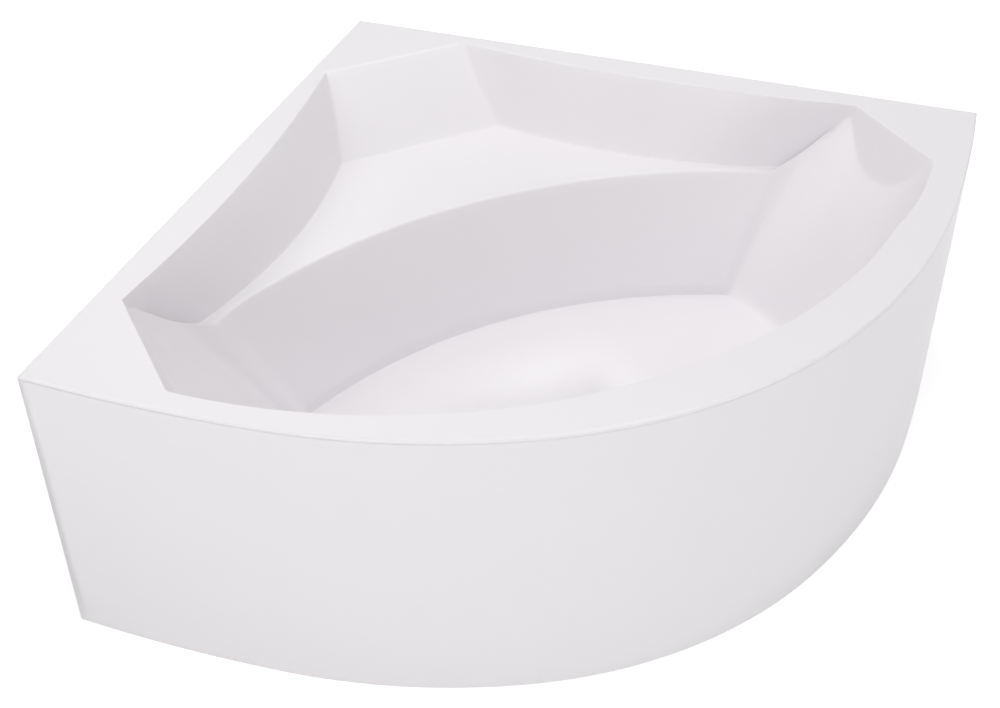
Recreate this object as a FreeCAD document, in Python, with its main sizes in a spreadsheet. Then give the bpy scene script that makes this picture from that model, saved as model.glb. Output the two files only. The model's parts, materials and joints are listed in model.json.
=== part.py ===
"""Corner bathtub: acrylic bowl with a seat in the wall corner, boards, rails, feet, panel and waste.

Every piece is drawn in the tub's own diagonal frame and then turned 45 degrees, so that the two walls lie
along the axes. In the diagonal frame x runs to the right along the chord between the two ends of the
front, y runs from the chord towards the wall corner, and z runs up from the floor.
"""
import FreeCAD, Part
import math
import os
import re
import Sketcher
from FreeCAD import Placement, Rotation, Vector

SIZES = (
    # outline of the rim and of the front panel
    ("tub_side", 1400, "length of each wall side"),
    ("tub_height", 584, "floor of the room to the top of the rim"),
    ("nose_radius", 910, "front curve, middle stretch"),
    ("nose_angle", 19.18, "where the middle stretch ends"),
    ("flank_radius", 1242, "front curve, next stretch each side"),
    ("flank_angle", 40.36, "where the flank stretch ends"),
    ("toe_angle", 47.41, "where the front curve meets the wall"),
    # acrylic shell
    ("skin", 5, "thickness of the acrylic"),
    ("skin_slope_gain", 0.5, "extra measured level, because the walls lean"),
    ("wall_lip_depth", 35, "turned down edge along the walls"),
    ("wall_lip_notch", 30, "front end of the wall to the lip, left free for the panel"),
    ("front_lip_depth", 8, "turned down edge along the front"),
    ("rim_edge_radius", 4, "rounding of the outer rim edge"),
    # rim opening and upper walls
    ("deck_gap", 214, "wall corner to the edge of the corner deck"),
    ("wall_margin_deck", 35, "wall to the opening beside the deck"),
    ("wall_margin_end", 52, "wall to the opening beside the ends"),
    ("wall_bow", 28, "how far the opening's wall edge bows inwards"),
    ("end_gap", 208, "end of the chord to the straight edge of each end"),
    ("end_lean", 0.3, "inward lean of the flat facet of each end"),
    # seat
    ("seat_level", 430, "height of the seat"),
    ("seat_gap", 350, "wall corner to the seat's back line"),
    ("seat_margin", 121, "wall to the seat's edge"),
    ("seat_bow", 40, "how far the seat's wall edge bows inwards"),
    ("seat_tip_reach", 165, "chord to the tips of the seat"),
    ("seat_top_reach", 100, "chord to the seat space at the rim"),
    # footwell at the floor of the tub
    ("floor_level", 180, "height of the tub's floor"),
    ("floor_front_margin", 208.6, "front outline to the floor"),
    ("floor_front_radius", 800, "front curve of the floor"),
    ("floor_front_angle", 30, "where the curve turns straight on the right"),
    ("floor_end_margin", 455, "end of the chord to the floor"),
    ("floor_end_radius", 280, "curve of each end of the floor"),
    ("floor_back_reach", 273, "chord to the back of the floor"),
    ("floor_back_radius", 1031, "back curve of the floor"),
    ("floor_corner_radius", 60, "corners of the floor"),
    # footwell carried up to the rim
    ("rim_front_margin", 98.6, "front outline to the opening"),
    ("rim_front_radius", 1050, "front curve of the opening"),
    ("rim_front_angle", 35, "where the curve turns straight on the right"),
    ("rim_end_margin", 162, "end of the chord to the opening, were it not for the facet"),
    ("rim_end_radius", 207, "curve of each end at the rim"),
    ("rim_back_reach", 435, "back of the footwell carried up to the rim"),
    ("rim_back_radius", 1409, "back curve carried up to the rim"),
    ("rim_corner_radius", 400, "turn from each end to the back, carried up to the rim"),
    ("front_shift", 30, "how far the front curve's centre lies left"),
    # boards
    ("base_board_depth", 15, "board under the floor"),
    ("base_board_margin", 40, "floor outline to the board's edge"),
    ("base_board_hole", 45, "hole round the waste, radius"),
    ("seat_board_depth", 12, "board under the seat"),
    ("seat_board_width", 380, "board under the seat, along the chord"),
    ("seat_board_run", 170, "board under the seat, towards the corner"),
    ("leg_gap", 125, "seat's back line to the middle of the seat board and to the seat leg"),
    ("batten_width", 20, "wall battens"),
    ("batten_gap", 0.3, "lip to batten"),
    ("batten_start", 60, "wall corner to the battens"),
    ("batten_end_gap", 70, "front end of the wall to the battens"),
    ("front_batten_inset", 22, "outline to the front batten"),
    ("front_batten_width", 16, "front batten"),
    ("front_batten_depth", 25, "front batten"),
    ("front_batten_angle", 36, "where the front batten ends"),
    # rails and feet
    ("rail_width", 30, "square tube"),
    ("rail_wall", 2, "tube wall"),
    ("rail_end_gap", 365, "end of the chord to the rail's end"),
    ("rear_rail_place", 170, "chord to the middle of the rear rail"),
    ("front_rail_gap", 125, "middle of the waste to the middle of the front rail"),
    ("cap_plate", 3, "plate of the tube cap"),
    ("cap_plug_length", 12, "plug of the tube cap"),
    ("fit_gap", 0.1, "play of plugs and sleeves, each side"),
    ("foot_gap", 35, "rail's end to its foot"),
    ("rod_radius", 6, "threaded rod"),
    ("rod_length", 206, "threaded rod"),
    ("rod_chamfer", 1, "ends of the rod"),
    ("rod_hole_gap", 0.6, "play of the rod in a tube"),
    ("thread_gap", 0.05, "play of a thread, and of a pin that turns"),
    ("nut_flats", 19, "across the flats"),
    ("nut_depth", 10, "height of the nut"),
    ("pad_radius", 26, "foot pad"),
    ("pad_height", 24, "foot pad"),
    ("pad_rim", 7, "height of the pad's rim"),
    ("pad_shoulder", 17, "height where the pad's neck starts"),
    ("pad_neck_radius", 11, "top of the pad"),
    ("rod_seat", 6, "room floor to the rod's lower end"),
    ("leg_plate_side", 90, "head plate of the seat leg"),
    ("leg_plate_depth", 4, "head plate of the seat leg"),
    ("bush_flange", 5, "flange of the guide bush"),
    ("bush_plug_length", 20, "plug of the guide bush"),
    # screws
    ("screw_radius", 2.4, "shank"),
    ("screw_head_radius", 4.6, "head"),
    ("screw_head_depth", 2.6, "head"),
    ("screw_grip", 10, "length in the board"),
    ("rail_screw_spread", 300, "centre to the outer rail screws"),
    ("leg_screw_spread", 33, "centre to the leg's screws"),
    # wall brackets
    ("bracket_width", 40, "along the wall"),
    ("bracket_metal", 3, "thickness"),
    ("bracket_drop", 60, "upright leg"),
    ("bracket_run", 32, "level leg"),
    ("bracket_hole_radius", 3.5, "wall screw hole"),
    ("bracket_near", 420, "wall corner to the first bracket"),
    ("bracket_far", 1080, "wall corner to the second bracket"),
    ("bracket_hole_drop", 38, "underside of the lip to the hole"),
    ("bracket_screw_spread", 11, "middle of the bracket to its screws"),
    # front panel and its clips
    ("panel_skin", 4, "thickness of the panel"),
    ("panel_gap", 0.3, "panel to the lip above it"),
    ("panel_flange", 16, "outline to the inner edge of the panel's flanges"),
    ("clip_width", 30, "along the panel"),
    ("clip_metal", 1.2, "spring steel"),
    ("clip_gap", 0.3, "clip to the panel's flange"),
    ("clip_reach", 8, "outline to the clip's tip"),
    ("clip_drop", 18, "upright of the clip"),
    ("clip_screw_drop", 9, "top of the clip to its screw"),
    ("clip_inner_angle", 10, "inner pair of clips"),
    ("clip_outer_angle", 32, "outer pair of clips"),
    # waste in the floor
    ("waste_gap", 117, "front of the floor to the middle of the waste"),
    ("waste_hole_radius", 26, "hole in the floor"),
    ("flange_radius", 35, "visible flange"),
    ("flange_depth", 2.5, "visible flange"),
    ("flange_neck_radius", 21, "threaded neck"),
    ("flange_neck_length", 26, "threaded neck"),
    ("flange_bore_radius", 18, "water way"),
    ("spider_width", 3, "arms of the stem guide"),
    ("spider_depth", 8, "arms of the stem guide"),
    ("guide_radius", 8, "stem guide"),
    ("guide_depth", 14, "stem guide"),
    ("gasket_depth", 1.5, "upper gasket"),
    ("lower_gasket_depth", 3, "lower gasket"),
    ("gasket_inset", 1, "flange's edge to the gasket's edge"),
    ("body_radius", 38, "waste body's flange"),
    ("body_flange_depth", 4, "waste body's flange"),
    ("body_collar_depth", 14, "threaded collar of the waste body"),
    ("barrel_radius", 28, "waste body's barrel"),
    ("body_wall", 3, "waste body's wall"),
    ("body_depth", 52, "waste body, flange to spout"),
    ("spout_radius", 19, "spout into the trap"),
    ("spout_length", 16, "spout into the trap"),
    ("port_drop", 34, "top of the waste body to the overflow port"),
    ("port_length", 24, "overflow port"),
    ("plug_radius", 31, "pop-up plug"),
    ("plug_edge", 3, "edge of the plug"),
    ("plug_crown", 5, "height of the plug's crown"),
    ("plug_seat_gap", 0.3, "seal to flange with the plug down"),
    ("seal_radius", 25, "plug seal"),
    ("seal_width", 3, "plug seal"),
    ("seal_depth", 2, "plug seal"),
    ("stem_radius", 4, "stem of the plug"),
    ("stem_length", 36, "stem of the plug"),
    ("pin_radius", 3, "lift pin"),
    ("pin_length", 18, "lift pin"),
    # trap
    ("trap_radius", 42, "trap"),
    ("trap_height", 56, "trap"),
    ("trap_wall", 3, "trap"),
    ("trap_drop", 28, "underside of the waste body to the top of the trap"),
    ("inlet_rise", 16, "inlet tube above the trap"),
    ("inlet_dip", 30, "inlet tube inside the trap"),
    ("cup_plate", 4, "screwed cup under the trap"),
    ("cup_rim", 10, "height of the cup's rim"),
    ("outlet_radius", 20, "outlet pipe"),
    ("outlet_wall", 2, "outlet pipe"),
    ("outlet_length", 190, "outlet pipe"),
    ("outlet_turn", 15, "outlet to the middle line, towards the left wall"),
    ("spigot_step", 0.5, "the outlet pipe's end in the trap is thinner by this, each side"),
    ("shoulder_gap", 0.3, "union nut to the outlet pipe's shoulder"),
    ("outlet_rise", 31, "trap's lower edge to the middle of the outlet"),
    ("socket_length", 28, "sockets for pipes"),
    ("socket_wall", 3, "sockets for pipes"),
    ("union_wall", 4.5, "union nuts"),
    ("union_cover", 12, "union nut over the socket"),
    ("union_beyond", 7, "union nut beyond the socket"),
    # overflow in the front wall
    ("overflow_drop", 72, "top of the rim to the middle of the overflow"),
    ("front_wall_fall", 0.4, "the wall, ruled from floor to rim, stands this far inside its curve"),
    ("overflow_hole_radius", 25, "hole in the front wall"),
    ("face_radius", 36, "face plate"),
    ("face_depth", 6, "face plate"),
    ("face_edge", 3, "bevel of the face plate"),
    ("face_bore", 12, "water way of the face plate"),
    ("face_stand", 1.2, "curved wall to the flat face plate"),
    ("face_neck_radius", 22, "neck of the face plate"),
    ("face_neck_length", 8, "neck of the face plate"),
    ("knob_radius", 27, "turning knob"),
    ("knob_depth", 15, "turning knob"),
    ("knob_bevel", 3, "turning knob"),
    ("knob_gap", 3, "knob to face plate, where the water enters"),
    ("shaft_radius", 4, "shaft of the knob"),
    ("shaft_reach", 24, "wall to the end of the shaft"),
    ("overflow_gasket_depth", 3, "gasket behind the wall"),
    ("cup_radius", 31, "overflow body"),
    ("cup_depth", 34, "overflow body"),
    ("bearing_radius", 7, "bearing of the knob's shaft"),
    ("bearing_length", 16, "bearing of the knob's shaft"),
    ("overflow_screw_place", 15, "shaft to each screw"),
    ("boss_radius", 4.6, "screw bosses"),
    ("overflow_screw_length", 26, "screws of the overflow"),
    ("pipe_radius", 14, "overflow pipe"),
    ("pipe_wall", 1.5, "overflow pipe"),
    ("pipe_bend", 40, "bend of the overflow pipe"),
    ("pipe_stand", 19, "front wall to the middle of the overflow pipe"),
    ("pipe_drop", 46, "middle of the overflow to the pipe's top"),
    ("socket_drop", 26, "middle of the overflow to the socket's top"),
    ("stop_step", 3, "shoulder that stops a pipe in its socket"),
    ("pipe_nut_cover", 8, "pipe nut over the socket"),
    ("pipe_nut_beyond", 6, "pipe nut beyond the socket"),
    ("cable_radius", 2.5, "lift cable"),
    ("cable_offset", 25, "overflow pipe to the lift cable"),
    ("cable_bend", 30, "bend of the lift cable"),
    ("cable_rise", 10, "lift cable above the overflow port"),
    ("cable_top_drop", 26, "middle of the overflow to the cable's top"),
    ("cable_end_reach", 16, "middle of the waste to the cable's end"),
    ("ferrule_radius", 5, "bosses that hold the cable"),
    ("ferrule_grip", 12, "cable held in each boss"),
    ("ferrule_end", 6, "boss beyond the cable's end"),
)

doc = FreeCAD.newDocument("corner_bathtub")
sheet = doc.addObject("Spreadsheet::Sheet", "Sizes")
for row, (alias, number, meaning) in enumerate(SIZES, start=1):
    sheet.set("A%d" % row, alias.replace("_", " "))
    sheet.set("B%d" % row, str(number))
    sheet.set("C%d" % row, meaning)
    sheet.setAlias("B%d" % row, alias)
doc.recompute()

ALIASES = {alias for alias, number, meaning in SIZES}


def size(text):
    """The value of a size, or of a sum of sizes written with their names."""
    names = {alias: float(sheet.get(alias)) for alias in re.findall(r"[a-z_]+", text) if alias in ALIASES}
    for alias in sorted(names, key=len, reverse=True):
        text = re.sub(r"\b%s\b" % alias, "(%r)" % names[alias], text)
    return float(sheet.evalExpression(text))


def linked(text):
    """The same text with each size named in its sheet, for an object's own formula."""
    return re.sub(r"\b[a-z_]+\b", lambda word: "Sizes." + word[0] if word[0] in ALIASES else word[0], text)


# ---------------------------------------------------------------- levels and derived lengths
HALF_CHORD = "(tub_side / sqrt(2))"
NOSE_SPAN = "(nose_radius * sin(nose_angle * 1 deg))"
FLANK_SPAN = "(flank_radius * (sin(flank_angle * 1 deg) - sin(nose_angle * 1 deg)))"
TOE_RADIUS = (
    "((%s - %s - %s) / (sin(toe_angle * 1 deg) - sin(flank_angle * 1 deg)))"
    % (HALF_CHORD, NOSE_SPAN, FLANK_SPAN)
)
TOE_BULGE = "(%s * (1 - cos((toe_angle - 45) * 1 deg)))" % TOE_RADIUS
FRONT_REACH = (
    "(nose_radius * (1 - cos(nose_angle * 1 deg))"
    " + flank_radius * (cos(nose_angle * 1 deg) - cos(flank_angle * 1 deg))"
    " + %s * (cos(flank_angle * 1 deg) - cos(toe_angle * 1 deg)))" % TOE_RADIUS
)
FLOOR_FRONT = "(%s - floor_front_margin)" % FRONT_REACH
RIM_UNDERSIDE = "(tub_height - skin)"
LIP_UNDERSIDE = "(tub_height - wall_lip_depth)"
FLOOR_UNDERSIDE = "(floor_level - skin)"
BOARD_UNDERSIDE = "(%s - base_board_depth)" % FLOOR_UNDERSIDE
RAIL_UNDERSIDE = "(%s - rail_width)" % BOARD_UNDERSIDE
SEAT_UNDERSIDE = "(seat_level - skin)"
SEAT_BOARD_UNDERSIDE = "(%s - seat_board_depth)" % SEAT_UNDERSIDE
LEG_TOP = "(%s - leg_plate_depth)" % SEAT_BOARD_UNDERSIDE
LEG_PLACE = "(%s - seat_gap - leg_gap)" % HALF_CHORD
RAIL_HALF = "(%s - rail_end_gap)" % HALF_CHORD
FOOT_PLACE = "(%s - foot_gap)" % RAIL_HALF
PANEL_TOP = "(tub_height - front_lip_depth - panel_gap)"
CLIP_TOP = "(%s - panel_skin - clip_gap)" % PANEL_TOP
BATTEN_NEAR = "(skin + batten_gap)"
BATTEN_FAR = "(skin + batten_gap + batten_width)"
ROD_HOLE = "(rod_radius + rod_hole_gap)"
SCREW_HOLE = "(screw_radius + thread_gap)"
# waste and trap, from the top down, drawn round the waste's own axis
WASTE_PLACE = "(%s - waste_gap)" % FLOOR_FRONT
WASTE = ("-front_shift", "-%s" % WASTE_PLACE)
FRONT_RAIL = "(front_rail_gap - %s)" % WASTE_PLACE
FLANGE_UNDERSIDE = "(floor_level + gasket_depth)"
FLANGE_TOP = "(%s + flange_depth)" % FLANGE_UNDERSIDE
PLUG_UNDERSIDE = "(%s + plug_seat_gap + seal_depth)" % FLANGE_TOP
BODY_TOP = "(%s - lower_gasket_depth)" % FLOOR_UNDERSIDE
BODY_UNDERSIDE = "(%s - body_depth)" % BODY_TOP
PORT_LEVEL = "(%s - port_drop)" % BODY_TOP
PORT_END = "(barrel_radius + port_length)"
CABLE_LEVEL = "(%s + cable_rise)" % PORT_LEVEL
TRAP_TOP = "(%s - trap_drop)" % BODY_UNDERSIDE
TRAP_BOTTOM = "(%s - trap_height)" % TRAP_TOP
INLET_TOP = "(%s + inlet_rise)" % TRAP_TOP
OUTLET_LEVEL = "(%s + outlet_rise)" % TRAP_BOTTOM
OUTLET_START = "(trap_radius + stop_step)"
SOCKET_END = "(trap_radius + socket_length)"
# overflow: its axis is square to the front wall
OVERFLOW_LEVEL = "(tub_height - overflow_drop)"
LEAN = "atan((floor_front_margin - rim_front_margin) / (tub_height - floor_level))"
WALL_RUN = (
    "((floor_front_margin - rim_front_margin) * (%s - floor_level) / (tub_height - floor_level)"
    " - front_wall_fall)" % OVERFLOW_LEVEL
)
FRONT_WALL = "(%s + %s)" % (FLOOR_FRONT, WALL_RUN)
WASTE_TO_WALL = "(-waste_gap - %s)" % WALL_RUN
WALL_BACK = "((skin + skin_slope_gain) * cos(%s))" % LEAN
CUP_START = "(%s + overflow_gasket_depth)" % WALL_BACK
CUP_BACK = "(%s + cup_depth - body_wall)" % CUP_START
FACE_FRONT = "(- face_stand - face_depth)"
PIPE_PLACE = "(%s - pipe_stand)" % WASTE_TO_WALL
PIPE_TOP = "(%s - pipe_drop)" % OVERFLOW_LEVEL
PIPE_SOCKET_END = "(%s - port_length + stop_step)" % PIPE_TOP
CABLE_TOP = "(%s - cable_top_drop)" % OVERFLOW_LEVEL


def at(piece, x="0", y="0", z="0", spin=None):
    """Put a piece of a larger one at x, y, z, all written as formulas of the sheet."""
    piece.Placement = Placement(Vector(), spin or Rotation())
    for axis, text in zip("xyz", (x, y, z)):
        piece.setExpression("Placement.Base." + axis, linked(text))
    return piece


def place(piece, x="0", y="0", z="0", spin=None):
    """Turn a piece from the diagonal frame to the walls, with its origin at x, y, z of that frame."""
    turn = Rotation(Vector(0, 0, 1), 45)
    shift = "%s / 2" % TOE_BULGE
    at(piece, "((%s) - (%s)) / sqrt(2) - %s" % (x, y, shift),
       "((%s) + (%s)) / sqrt(2) + %s" % (x, y, shift), z, turn * spin if spin else turn)


FINISHED = []


def finish(piece, label, *where, spin=None):
    """Name a finished piece that was drawn in the diagonal frame."""
    place(piece, *where, spin=spin)
    piece.Label = label
    FINISHED.append(piece)


def finish_at_walls(piece, label):
    """Name a finished piece that was drawn along the walls, with their middle as its origin."""
    at(piece, "- %s / 2" % TOE_BULGE, "%s / 2" % TOE_BULGE)
    piece.Label = label
    FINISHED.append(piece)


# ---------------------------------------------------------------- primitives bound to the sheet
def box(name, lengths, corner):
    piece = doc.addObject("Part::Box", name)
    for path, text in zip(("Length", "Width", "Height"), lengths):
        piece.setExpression(path, linked(text))
    return at(piece, *corner)


def rod(name, radius, height, foot, axis=Vector(0, 0, 1)):
    """A cylinder that starts at foot and runs along an axis."""
    piece = doc.addObject("Part::Cylinder", name)
    piece.setExpression("Radius", linked(radius))
    piece.setExpression("Height", linked(height))
    return at(piece, *foot, spin=Rotation(Vector(0, 0, 1), axis))


def cut(name, base, *tools):
    piece = doc.addObject("Part::Cut", name)
    piece.Base = base
    piece.Tool = tools[0] if len(tools) == 1 else fuse(name + "_tools", *tools)
    return piece


def fuse(name, *pieces):
    piece = doc.addObject("Part::MultiFuse", name)
    piece.Shapes = list(pieces)
    return piece


def group(name, *pieces):
    """Separate solids that share one node."""
    piece = doc.addObject("Part::Compound", name)
    piece.Links = list(pieces)
    return piece


# ---------------------------------------------------------------- sketched bodies
def plane_of(body, role):
    return next(feature for feature in body.Origin.OriginFeatures if feature.Role == role)


def sketch(body, name, role, points, level=None):
    """A closed outline whose every corner is held by two dimensions bound to the sheet."""
    drawing = body.newObject("Sketcher::SketchObject", name)
    drawing.AttachmentSupport = [(plane_of(body, role), "")]
    drawing.MapMode = "FlatFace"
    if level is not None:
        drawing.setExpression("AttachmentOffset.Base.z", linked(level))
    corners = [(size(x), size(y)) for x, y in points]
    count = len(corners)
    for index in range(count):
        start = Vector(*corners[index], 0)
        end = Vector(*corners[(index + 1) % count], 0)
        drawing.addGeometry(Part.LineSegment(start, end), False)
    for index in range(count):
        drawing.addConstraint(Sketcher.Constraint("Coincident", index, 2, (index + 1) % count, 1))
    for index, texts in enumerate(points):
        for kind, axis, text, number in zip(("DistanceX", "DistanceY"), (-2, -1), texts, corners[index]):
            if text == "0":
                drawing.addConstraint(Sketcher.Constraint("PointOnObject", index, 1, axis))
            else:
                dimension = drawing.addConstraint(Sketcher.Constraint(kind, -1, 1, index, 1, number))
                drawing.setExpression("Constraints[%d]" % dimension, linked(text))
    return drawing


def turned(name, points):
    """A lathe-turned body from the outline of its right half: radius and height of each corner."""
    body = doc.addObject("PartDesign::Body", name)
    drawing = sketch(body, name + "_outline", "XZ_Plane", points)
    revolution = body.newObject("PartDesign::Revolution", name + "_turning")
    revolution.Profile = drawing
    revolution.ReferenceAxis = (drawing, ["V_Axis"])
    revolution.Angle = 360
    return body


def ring(outer, inner, low, high):
    return ((inner, low), (outer, low), (outer, high), (inner, high))


# ---------------------------------------------------------------- outline curves
def arc(centre, radius, start, end):
    """An arc through points at angles counted clockwise from the front, seen from above."""
    def at(angle):
        return centre + Vector(radius * math.sin(angle), -radius * math.cos(angle), 0)
    return Part.Arc(at(start), at((start + end) / 2), at(end)).toShape()


def front_arcs(inset, reach_angle=None):
    """The front outline from left to right, moved inwards by inset."""
    nose, flank, toe = (math.radians(size(a)) for a in ("nose_angle", "flank_angle", "toe_angle"))
    radii = size("nose_radius"), size("flank_radius"), size(TOE_RADIUS)
    centre = Vector(0, radii[0] - front_reach(), 0)
    flank_centres = {}
    toe_centres = {}
    for side in (-1, 1):
        step = Vector(side * math.sin(nose), -math.cos(nose), 0)
        flank_centres[side] = centre + step * (radii[0] - radii[1])
        step = Vector(side * math.sin(flank), -math.cos(flank), 0)
        toe_centres[side] = flank_centres[side] + step * (radii[1] - radii[2])
    last = toe if reach_angle is None else math.radians(reach_angle)
    stretches = [
        (toe_centres[-1], radii[2], -last, -flank),
        (flank_centres[-1], radii[1], -min(last, flank), -nose),
        (centre, radii[0], -nose, nose),
        (flank_centres[1], radii[1], nose, min(last, flank)),
        (toe_centres[1], radii[2], flank, last),
    ]
    return [arc(c, radius - inset, a, b) for c, radius, a, b in stretches if b - a > 1e-6]


def front_reach():
    """How far the front stands out from the chord."""
    nose, flank, toe = (math.radians(size(a)) for a in ("nose_angle", "flank_angle", "toe_angle"))
    return (
        size("nose_radius") * (1 - math.cos(nose))
        + size("flank_radius") * (math.cos(nose) - math.cos(flank))
        + size(TOE_RADIUS) * (math.cos(flank) - math.cos(toe))
    )


def line(start, end):
    return Part.LineSegment(start, end).toShape()


def ends_of(edges):
    """The two free ends of a chain of edges that runs from left to right."""
    return edges[0].Vertexes[0].Point, edges[-1].Vertexes[-1].Point


def face(edges, level):
    wire = Part.Wire(Part.sortEdges(edges)[0])
    plate = Part.Face(wire)
    plate.translate(Vector(0, 0, level))
    return plate


def prism(edges, low, high):
    return face(edges, low).extrude(Vector(0, 0, high - low))


def tub_outline(inset=0.0):
    """The whole plan outline: two walls that meet in the corner, and the bowed front."""
    half = size(HALF_CHORD)
    curve = front_arcs(inset)
    left, right = ends_of(curve)
    corner = Vector(0, half - inset * math.sqrt(2), 0)
    return curve + [line(right, corner), line(corner, left)]


def front_band(outer_inset, inner_inset, low, high, reach_angle=None):
    """A strip that follows the front, between two distances from the outline."""
    outer = front_arcs(outer_inset, reach_angle)
    inner = front_arcs(inner_inset, reach_angle)
    outer_left, outer_right = ends_of(outer)
    inner_left, inner_right = ends_of(inner)
    edges = outer + [line(outer_right, inner_right)] + inner + [line(inner_left, outer_left)]
    return prism(edges, low, high)


# ---------------------------------------------------------------- the bowl
WELL = ("front_margin", "front_radius", "front_angle", "end_margin", "end_radius",
        "back_reach", "back_radius", "corner_radius")


def well_measures(level):
    """The footwell's measures at a level: straight lines from the floor to the rim."""
    share = (level - size("floor_level")) / (size("tub_height") - size("floor_level"))
    measures = {}
    for name in WELL:
        low = size("floor_" + name)
        measures[name] = low + share * (size("rim_" + name) - low)
    return measures


def circle_meet(first, first_radius, second, second_radius, side):
    """Where two circles cross: the crossing that lies further to the left (-1) or right (1)."""
    gap = second - first
    distance = gap.Length
    along = (distance ** 2 + first_radius ** 2 - second_radius ** 2) / (2 * distance)
    across = math.sqrt(first_radius ** 2 - along ** 2)
    unit = gap / distance
    normal = Vector(-unit.y, unit.x, 0)
    meets = [first + unit * along + normal * across * sign for sign in (-1, 1)]
    return max(meets, key=lambda point: side * point.x)


def arc_between(centre, radius, start, end):
    middle = ((start - centre).normalize() + (end - centre).normalize()).normalize()
    return Part.Arc(start, centre + middle * radius, end).toShape()


def well_wire(level, growth=0.0):
    """The footwell's outline at a level, grown outwards by the thickness of the acrylic."""
    m = well_measures(level)
    angle = math.radians(m["front_angle"])
    front_centre = Vector(-size("front_shift"), m["front_radius"] + m["front_margin"] - front_reach(), 0)
    back_centre = Vector(0, m["back_reach"] - m["back_radius"], 0)
    inner = size(HALF_CHORD) - m["end_margin"] - m["end_radius"]
    # right end: touches the straight stretch that leaves the front curve at the angle
    slant = Vector(math.sin(angle), -math.cos(angle), 0)
    curve_end = front_centre + slant * m["front_radius"]
    lift = (slant.dot(curve_end) - m["end_radius"] - slant.x * inner) / slant.y
    right_centre = Vector(inner, lift, 0)
    # left end: touches the front curve itself
    offset = m["front_radius"] - m["end_radius"]
    across = -inner - front_centre.x
    left_centre = Vector(-inner, front_centre.y - math.sqrt(offset ** 2 - across ** 2), 0)
    front_radius = m["front_radius"] + growth
    end_radius = m["end_radius"] + growth
    back_radius = m["back_radius"] + growth
    corner_radius = m["corner_radius"] + growth
    touches = {}
    corners = {}
    for side, centre in ((-1, left_centre), (1, right_centre)):
        tighter = math.copysign(1, m["end_radius"] - m["corner_radius"])
        corner = circle_meet(centre, m["end_radius"] - m["corner_radius"],
                             back_centre, m["back_radius"] - m["corner_radius"], side * tighter)
        corners[side] = corner
        on_end = centre + (corner - centre).normalize() * end_radius * tighter
        on_back = back_centre + (corner - back_centre).normalize() * back_radius
        touches[side] = (on_end, on_back)
    line_start = front_centre + slant * front_radius
    line_end = right_centre + slant * end_radius
    left_touch = front_centre + (left_centre - front_centre).normalize() * front_radius
    return Part.Wire([
        arc_between(back_centre, back_radius, touches[-1][1], touches[1][1]),
        arc_between(corners[1], corner_radius, touches[1][1], touches[1][0]),
        arc_between(right_centre, end_radius, touches[1][0], line_end),
        line(line_end, line_start),
        arc_between(front_centre, front_radius, line_start, left_touch),
        arc_between(left_centre, end_radius, left_touch, touches[-1][0]),
        arc_between(corners[-1], corner_radius, touches[-1][0], touches[-1][1]),
    ])


def upper_wire(level, growth=0.0):
    """The seat space and the flat end facets at a level, open towards the front."""
    share = (level - size("seat_level")) / (size("tub_height") - size("seat_level"))

    def between(low, high):
        return size(low) + share * (size(high) - size(low))

    half = size(HALF_CHORD)
    spread = math.sqrt(2)
    deck = half - between("seat_gap", "deck_gap") + growth
    end = half - size("end_gap") - size("end_lean") * (size("tub_height") - level) + growth
    margin_deck = between("seat_margin", "wall_margin_deck") - growth
    margin_end = between("seat_margin", "wall_margin_end") - growth
    deck_corner = Vector(half - deck - margin_deck * spread, deck, 0)
    end_corner = Vector(end, half - end - margin_end * spread, 0)
    middle = (deck_corner + end_corner) / 2 - Vector(1, 1, 0) / spread * between("seat_bow", "wall_bow")
    mirror = [Vector(-p.x, p.y, 0) for p in (deck_corner, middle, end_corner)]
    return Part.Wire([
        line(mirror[0], deck_corner),
        Part.Arc(deck_corner, middle, end_corner).toShape(),
        line(end_corner, Vector(end, -half, 0)),
        line(Vector(end, -half, 0), Vector(-end, -half, 0)),
        line(Vector(-end, -half, 0), mirror[2]),
        Part.Arc(mirror[2], mirror[1], mirror[0]).toShape(),
    ])


def raised(wire, level):
    copy = wire.copy()
    copy.translate(Vector(0, 0, level))
    return copy


def bowl(floor, seat, top, growth):
    """The space of the bowl, or with growth the outside of its skin."""
    well = Part.makeLoft([raised(well_wire(z, growth), z) for z in (floor, top)], True, True)
    upper = Part.makeLoft([raised(upper_wire(z, growth), z) for z in (seat, top)], True, True)
    half = size(HALF_CHORD)
    lower_half = Part.makeBox(4 * half, 4 * half, seat - floor, Vector(-2 * half, -2 * half, floor))
    run = (size("seat_tip_reach") - size("seat_top_reach")) / (size("tub_height") - size("seat_level"))
    near = size("seat_tip_reach") - run * (seat - size("seat_level"))
    far = size("seat_tip_reach") - run * (top - size("seat_level"))
    profile = Part.makePolygon([Vector(-half, near, seat), Vector(-half, half, seat),
                                Vector(-half, half, top), Vector(-half, far, top),
                                Vector(-half, near, seat)])
    behind = Part.Face(profile).extrude(Vector(2 * half, 0, 0))
    return well.common(lower_half).fuse(upper.common(well.fuse(behind))).removeSplitter()


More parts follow.
